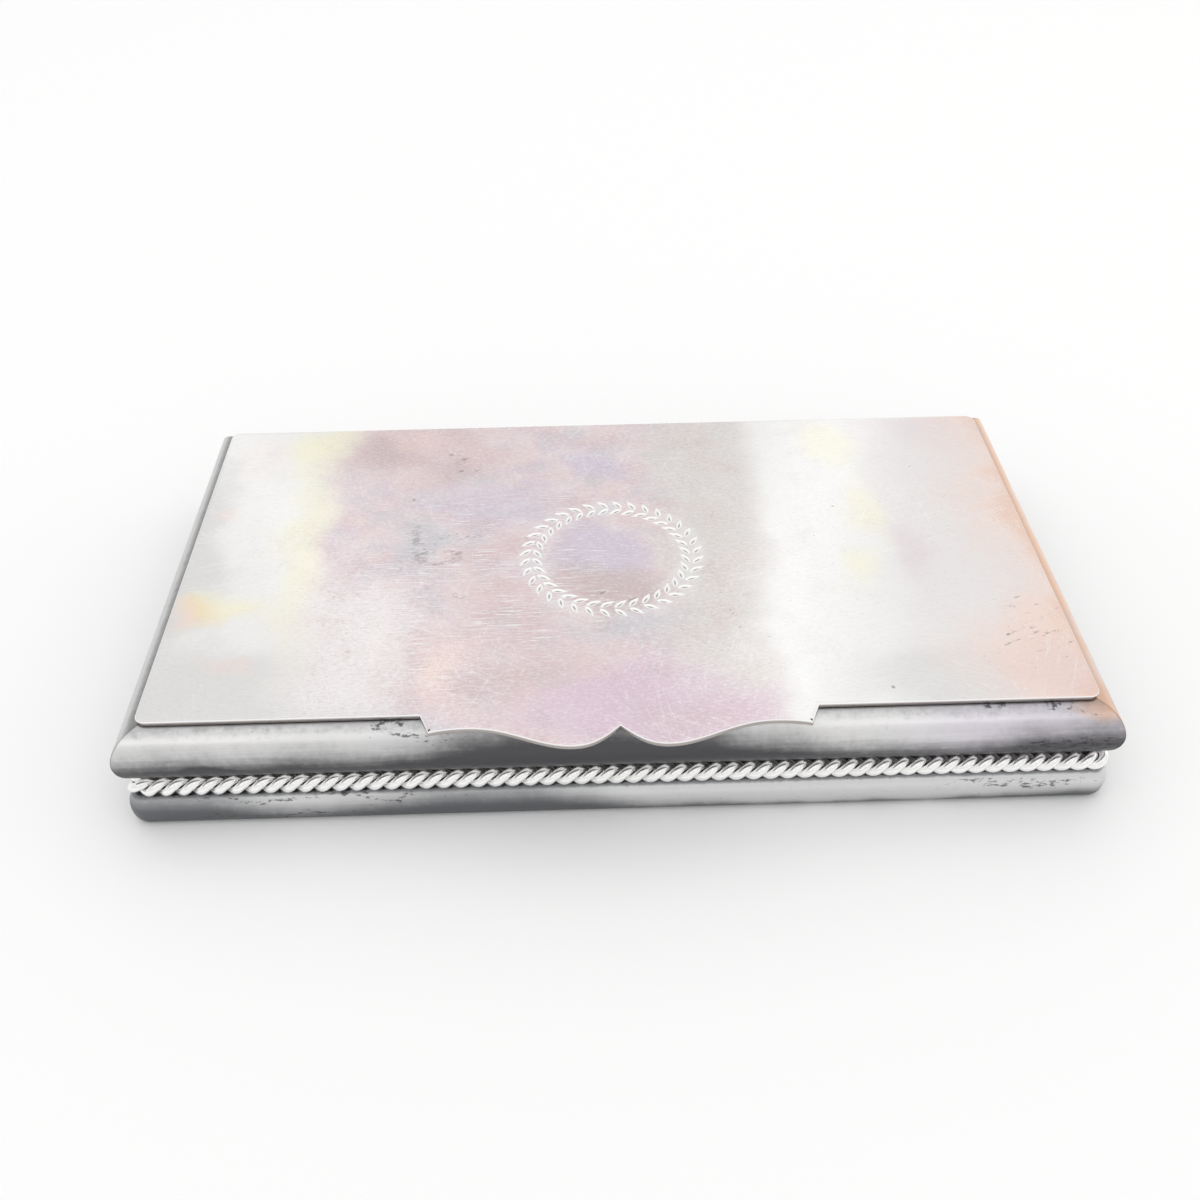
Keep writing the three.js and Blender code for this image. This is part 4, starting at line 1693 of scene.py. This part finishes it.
@dataclass(frozen=True)
class Studio:
    """The pale floor, the soft lights and the camera at the photograph's angle."""

    eye: tuple[float, float, float] = (-0.00581, -0.19548, 0.1757)
    pitch: float = math.radians(40.571)
    yaw: float = math.radians(1.03)
    roll: float = math.radians(-0.857)
    focal_pixels: float = 1265.6
    photo_pixels: float = 1200.0
    sensor: float = 36.0
    near: float = 0.01
    floor_half: float = 6.0
    room: Colour = (1.0, 1.0, 1.0)
    room_glow: float = 0.82
    back_range: Range = (-0.6, 0.6)
    back_glow: float = 0.06
    overhead_range: Range = (0.5, 1.0)
    overhead_glow: float = 0.15
    lights: tuple[Softbox, ...] = (
        Softbox("overhead", (0.0, 0.25, 1.4), (1.8, 1.3), 0.35),
        Softbox("strip_left", (-0.355, 1.0, 0.74), (0.09, 0.62), 0.16, math.radians(20), on_lid=True),
        Softbox("strip_right", (0.255, 1.0, 0.85), (0.12, 1.0), 0.2, math.radians(-4), on_lid=True),
        Softbox("warm_side", (1.2, 0.2, 0.5), (0.6, 0.6), 0.55, tint=(1.0, 0.8, 0.64)),
        Softbox("front_left", (-0.52, -0.85, 0.8), (0.5, 0.15), 0.5),
        Softbox("front_right", (0.5, -0.85, 0.8), (0.55, 0.15), 0.5),
    )

    def build(self, lid: bpy.types.Object) -> None:
        """Sets up the whole studio.

        Args:
            lid: The flat plate, which would glare where it mirrors a light from above.
        """
        bpy.context.scene.view_settings.view_transform = "Standard"
        self.lay_floor()
        self.fill_world()
        spared = bpy.data.collections.new("spared")
        spared.objects.link(lid)
        spared.collection_objects[0].light_linking.link_state = "EXCLUDE"
        for light in self.lights:
            light.build(spared)
            LOG.info("light %s", light.name)
        self.set_camera()

    def lay_floor(self) -> None:
        """Lays the paper that the box stands on."""
        draft = Draft()
        half = self.floor_half
        corners = [(-half, -half), (half, -half), (half, half), (-half, half)]
        draft.cap(draft.ring(Vector((x, y, 0.0)) for x, y in corners))
        floor = draft.bare("floor")
        floor.data.materials.append(PaleFloor("pale_floor").material())

    def fill_world(self) -> None:
        """Fills the room with light that is brightest overhead and behind the box."""
        world = bpy.data.worlds.new("studio")
        bpy.context.scene.world = world
        world.use_nodes = True
        shader = Shader(world.node_tree)
        direction = Wire(shader, shader.node("ShaderNodeTexCoord").outputs["Generated"])
        _, back, up = shader.split(direction)
        glow = shader.fade(back, *self.back_range) * self.back_glow
        glow = glow + shader.fade(up, *self.overhead_range) * self.overhead_glow + self.room_glow
        background = world.node_tree.nodes["Background"]
        background.inputs["Color"].default_value = (*self.room, 1.0)
        shader.feed(background.inputs["Strength"], glow)

    def set_camera(self) -> None:
        """Puts the camera where the photograph was taken from."""
        flat = math.cos(self.pitch)
        ahead = Vector((math.sin(self.yaw) * flat, math.cos(self.yaw) * flat, -math.sin(self.pitch)))
        level = Vector((math.cos(self.yaw), -math.sin(self.yaw), 0.0))
        upright = level.cross(ahead)
        right = level * math.cos(self.roll) + upright * math.sin(self.roll)
        above = upright * math.cos(self.roll) - level * math.sin(self.roll)
        data = bpy.data.cameras.new("camera")
        data.sensor_width = self.sensor
        data.lens = self.sensor * (self.focal_pixels / self.photo_pixels)
        data.clip_start = self.near
        camera = bpy.data.objects.new("camera", data)
        bpy.context.scene.collection.objects.link(camera)
        turn = Matrix((right, above, -ahead)).transposed().to_4x4()
        camera.matrix_world = Matrix.Translation(self.eye) @ turn
        bpy.context.scene.camera = camera


@dataclass
class SilverBox:
    """The whole box, dressed from the base up."""

    plan: Plan
    sheet_ease: float = 0.0001
    rim_ease: float = 0.00015
    board_ease: float = 0.0002

    def border_finish(self, side: Side) -> BorderSilver:
        """The finish of one length of moulding: painted shade below the tab, a grey left length that is
        painted shade, warm at the right.
        """
        low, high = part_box(MouldingFrame.nodes[side])
        end = self.plan.half_length
        front = -self.plan.half_depth
        # The left length's darker clean colour is painted shade.
        clean = {Side.LEFT: Tint.PEWTER, Side.RIGHT: Tint.CHALK}.get(side, Tint.SILVER)
        lilac = BloomAndShade((end - 0.008, front - 0.004), (0.034, 0.01), Tint.LILAC, 0.5, 0.3)
        corner = BloomAndShade((end + 0.001, front, high.z), (0.008, 0.005, 0.003), Tint.COPPER, 0.9, 0.3)
        ledge = BloomAndShade((end + 0.002, 0.0, high.z + 0.001), (0.01, 0.3, 0.006), Tint.COPPER, 0.95, 0.3)
        return BorderSilver(
            f"moulding_silver_{side.name.lower()}",
            low=low.z,
            high=high.z,
            clean=clean.value,
            seam_grime_and_shade=0.15 if side is Side.RIGHT else 0.65,
            blooms={Side.FRONT: (lilac, corner), Side.RIGHT: (ledge,)}.get(side, ()),
            # Painted shade below the tab, towards the left and at the right end, and a painted light patch
            # right of the tab.
            painted_shade_and_light=(
                BloomAndShade((-0.004, front), (0.044, 0.03), Tint.INK, 0.4, 0.2),
                BloomAndShade((-0.05, front), (0.022, 0.03), Tint.INK, 0.04),
                BloomAndShade((-0.068, front, low.z + 0.003), (0.018, 0.02, 0.003), Tint.INK, 0.35, 0.3),
                BloomAndShade((0.052, front), (0.026, 0.03), Tint.SILVER, -0.09),
                BloomAndShade((end, front), (0.02, 0.03), Tint.INK, 0.12),
            ),
            soiled=(
                BloomAndShade((-0.036, front, high.z - 0.0016), (0.012, 0.02, 0.0014), Tint.INK, 1.0, 0.3),
                BloomAndShade((end - 0.006, front, low.z + 0.004), (0.018, 0.02, 0.0045), Tint.INK, 1.0, 0.4),
                BloomAndShade((end - 0.012, front, high.z), (0.02, 0.006, 0.001), Tint.INK, 1.0, 0.4),
            ),
        )

    def foot_finish(self) -> BorderSilver:
        """The foot's finish: greyer than the moulding, darker to the left with painted shade, lighter right
        of the middle with painted light, and more soiled to the left.
        """
        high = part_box(FootBand.node)[1].z
        end = self.plan.half_length
        front = -self.plan.half_depth
        return BorderSilver(
            "foot_silver",
            high=high,
            clean=(0.71, 0.71, 0.71),
            tarnish=(0.17, 0.175, 0.185),
            roughness=0.34,
            dark_below=0.0,
            bright_above=0.95,
            bright_under=-1.0,
            seam_width=0.03,
            seam_grime_and_shade=0.85,
            # Painted shade at both ends and left of the middle, and a painted light patch right of the
            # middle.
            painted_shade_and_light=(
                BloomAndShade((-end, front), (0.026, 0.2), Tint.INK, 0.5, 0.3),
                BloomAndShade((-0.024, front), (0.032, 0.2), Tint.INK, 0.45, 0.2),
                BloomAndShade((0.05, front, 0.7 * high), (0.06, 0.2, 0.8 * high), Tint.SILVER, -0.4, 0.5),
                BloomAndShade((end, front), (0.02, 0.2), Tint.INK, 0.25, 0.3),
            ),
            soiled=(
                BloomAndShade((-0.055, front, 0.93 * high), (0.04, 0.02, 0.12 * high), Tint.INK, 1.0, 0.4),
                BloomAndShade((-0.062, front, 0.3 * high), (0.02, 0.02, 0.2 * high), Tint.INK, 0.9, 0.3),
                BloomAndShade((end - 0.012, front, 0.75 * high), (0.022, 0.02, 0.3 * high), Tint.INK, 1.0, 0.3),
            ),
        )

    def lid_finish(self) -> LidSilver:
        """The lid's finish, with the blooms of tarnish that the plate has."""
        blooms = (
            BloomAndShade((0.0195, 0.0), (0.0145, 0.3), Tint.OLIVE, 0.8, 0.2),
            BloomAndShade((0.066, 0.0), (0.018, 0.3), Tint.CHALK, 0.9, 0.4),
            BloomAndShade((-0.064, -0.041), (0.036, 0.02), Tint.ASH, 1.0, 0.5),
            BloomAndShade((-0.085, -0.004), (0.013, 0.05), Tint.ASH, 1.0, 0.4),
            BloomAndShade((-0.05, -0.024), (0.02, 0.024), Tint.CHALK, 0.9, 0.4),
            BloomAndShade((-0.073, 0.032), (0.012, 0.013), Tint.PEACH, 0.2),
            BloomAndShade((-0.038, 0.036), (0.028, 0.016), Tint.ROSE, 0.6, 0.3),
            BloomAndShade((-0.02, -0.032), (0.03, 0.016), Tint.ROSE, 0.5, 0.3),
            BloomAndShade((-0.048, 0.034), (0.012, 0.01), Tint.BROWN, 0.7),
            BloomAndShade((-0.032, 0.027), (0.01, 0.01), Tint.BROWN, 0.5),
            BloomAndShade((-0.04, 0.04), (0.012, 0.008), Tint.PEACH, 0.4),
            BloomAndShade((-0.038, 0.002), (0.007, 0.012), Tint.SMOKE, 0.85, 0.3),
            BloomAndShade((-0.024, 0.016), (0.02, 0.012), Tint.LILAC, 0.5),
            BloomAndShade((-0.022, 0.001), (0.012, 0.008), Tint.ROSE, 0.7),
            BloomAndShade((0.0, 0.027), (0.008, 0.009), Tint.LILAC, 0.8),
            BloomAndShade((-0.002, 0.0), (0.014, 0.012), Tint.LILAC, 0.75, 0.4),
            BloomAndShade((-0.006, -0.008), (0.008, 0.005), Tint.SMOKE, 0.6),
            BloomAndShade((0.0, -0.0115), (0.016, 0.009), Tint.BROWN, 0.85, 0.3),
            BloomAndShade((0.003, -0.021), (0.018, 0.007), Tint.SMOKE, 0.8),
            BloomAndShade((-0.022, -0.014), (0.014, 0.009), Tint.ROSE, 0.6),
            BloomAndShade((-0.028, -0.031), (0.008, 0.01), Tint.PEACH, 0.7),
            BloomAndShade((-0.018, -0.035), (0.012, 0.007), Tint.BROWN, 0.4),
            BloomAndShade((0.005, -0.046), (0.03, 0.014), Tint.MAUVE, 0.9, 0.4),
            BloomAndShade((0.013, -0.046), (0.018, 0.01), Tint.BROWN, 0.45),
            BloomAndShade((-0.0605, 0.006), (0.009, 0.05), Tint.STRAW, 0.6),
            BloomAndShade((-0.062, 0.036), (0.01, 0.012), Tint.STRAW, 0.8),
            BloomAndShade((-0.0735, -0.014), (0.012, 0.007), Tint.STRAW, 0.8),
            BloomAndShade((-0.0785, -0.0175), (0.0075, 0.0065), Tint.AMBER, 0.75),
            BloomAndShade((-0.081, -0.0195), (0.006, 0.005), Tint.PEACH, 0.6),
            BloomAndShade((-0.071, -0.031), (0.006, 0.005), Tint.PEACH, 0.4),
            BloomAndShade((-0.0775, 0.012), (0.006, 0.006), Tint.PEACH, 0.35),
            BloomAndShade((0.048, 0.034), (0.008, 0.01), Tint.STRAW, 0.5),
            BloomAndShade((0.052, 0.01), (0.005, 0.018), Tint.STRAW, 0.6),
            BloomAndShade((0.047, -0.011), (0.005, 0.009), Tint.STRAW, 0.6),
            BloomAndShade((0.057, -0.006), (0.008, 0.01), Tint.PINK, 0.4),
            BloomAndShade((0.074, 0.041), (0.016, 0.013), Tint.PINK, 0.3),
            BloomAndShade((0.06, -0.041), (0.026, 0.012), Tint.ASH, 0.8, 0.3),
            BloomAndShade((0.09, 0.0), (0.024, 0.3), Tint.PEACH, 0.95, 0.2),
            BloomAndShade((0.084, -0.038), (0.03, 0.032), Tint.PEACH, 1.0, 0.3),
            BloomAndShade((0.086, 0.0), (0.008, 0.3), Tint.COPPER, 0.5),
            BloomAndShade((0.08, -0.04), (0.018, 0.014), Tint.ROSE, 0.3),
        )
        soiled = (
            BloomAndShade((0.0735, -0.027), (0.014, 0.018), Tint.INK, 1.0, 0.2),
            BloomAndShade((0.0, -0.0115), (0.016, 0.008), Tint.INK, 0.8, 0.2),
            BloomAndShade((-0.036, 0.002), (0.01, 0.01), Tint.INK, 0.8, 0.2),
            BloomAndShade((-0.033, 0.031), (0.007, 0.01), Tint.INK, 0.9, 0.2),
            BloomAndShade((0.022, -0.014), (0.016, 0.02), Tint.INK, 0.6, 0.2),
        )
        dents = (
            BloomAndShade((-0.034, -0.0015), (0.0055, 0.0028), Tint.INK, 1.0, 0.4),
            BloomAndShade((-0.0385, 0.004), (0.0014, 0.006), Tint.INK, 0.7),
            BloomAndShade((-0.0275, 0.0045), (0.004, 0.0012), Tint.INK, 0.6),
            BloomAndShade((-0.031, 0.031), (0.0016, 0.0045), Tint.INK, 0.8),
            BloomAndShade((-0.0275, 0.029), (0.0009, 0.003), Tint.INK, 0.7),
            BloomAndShade((-0.029, -0.0135), (0.0014, 0.0012), Tint.INK, 1.0, 0.4),
        )
        low, high = (corner.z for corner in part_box(LidPlate.node))
        return LidSilver("lid_silver", high, high - low, blooms, soiled, dents)

    def build(self) -> bpy.types.Object:
        """Builds and dresses every sub-assembly.

        Returns:
            The lid's plate.
        """
        hinge_silver = SheetSilver("hinge_silver")
        base_silver = SheetSilver("base_silver", clean=(0.66, 0.64, 0.62))
        wall_silver = SheetSilver("wall_silver", Tint.SILVER.value, Tint.PEWTER.value)
        dress_node("base_plate", base_silver, self.sheet_ease)
        dress_node("body_wall", wall_silver, self.sheet_ease)
        FootBand(self.plan).build(self.foot_finish())
        RopeBorder(self.plan).build(RopeSilver("rope_silver"))
        MouldingFrame(self.plan).build({side: self.border_finish(side) for side in Side})
        for node in ("lining_floor", "lining_front", "lining_back"):
            dress_node(node, Cedar("cedar_along", Grain.ALONG_X), self.board_ease)
        for node in ("lining_left", "lining_right", "divider"):
            dress_node(node, Cedar("cedar_across", Grain.ALONG_Y), self.board_ease)
        Hinge().build(hinge_silver)
        dress_node("lid_rim", hinge_silver, self.rim_ease)
        return LidPlate(self.plan).build(self.lid_finish())


def main() -> None:
    """Builds the box and the studio round it, and logs what it makes."""
    logging.basicConfig(level=logging.INFO, format="%(message)s")
    lid = SilverBox(Plan.measured()).build()
    Studio().build(lid)


if __name__ == "__main__":
    main()
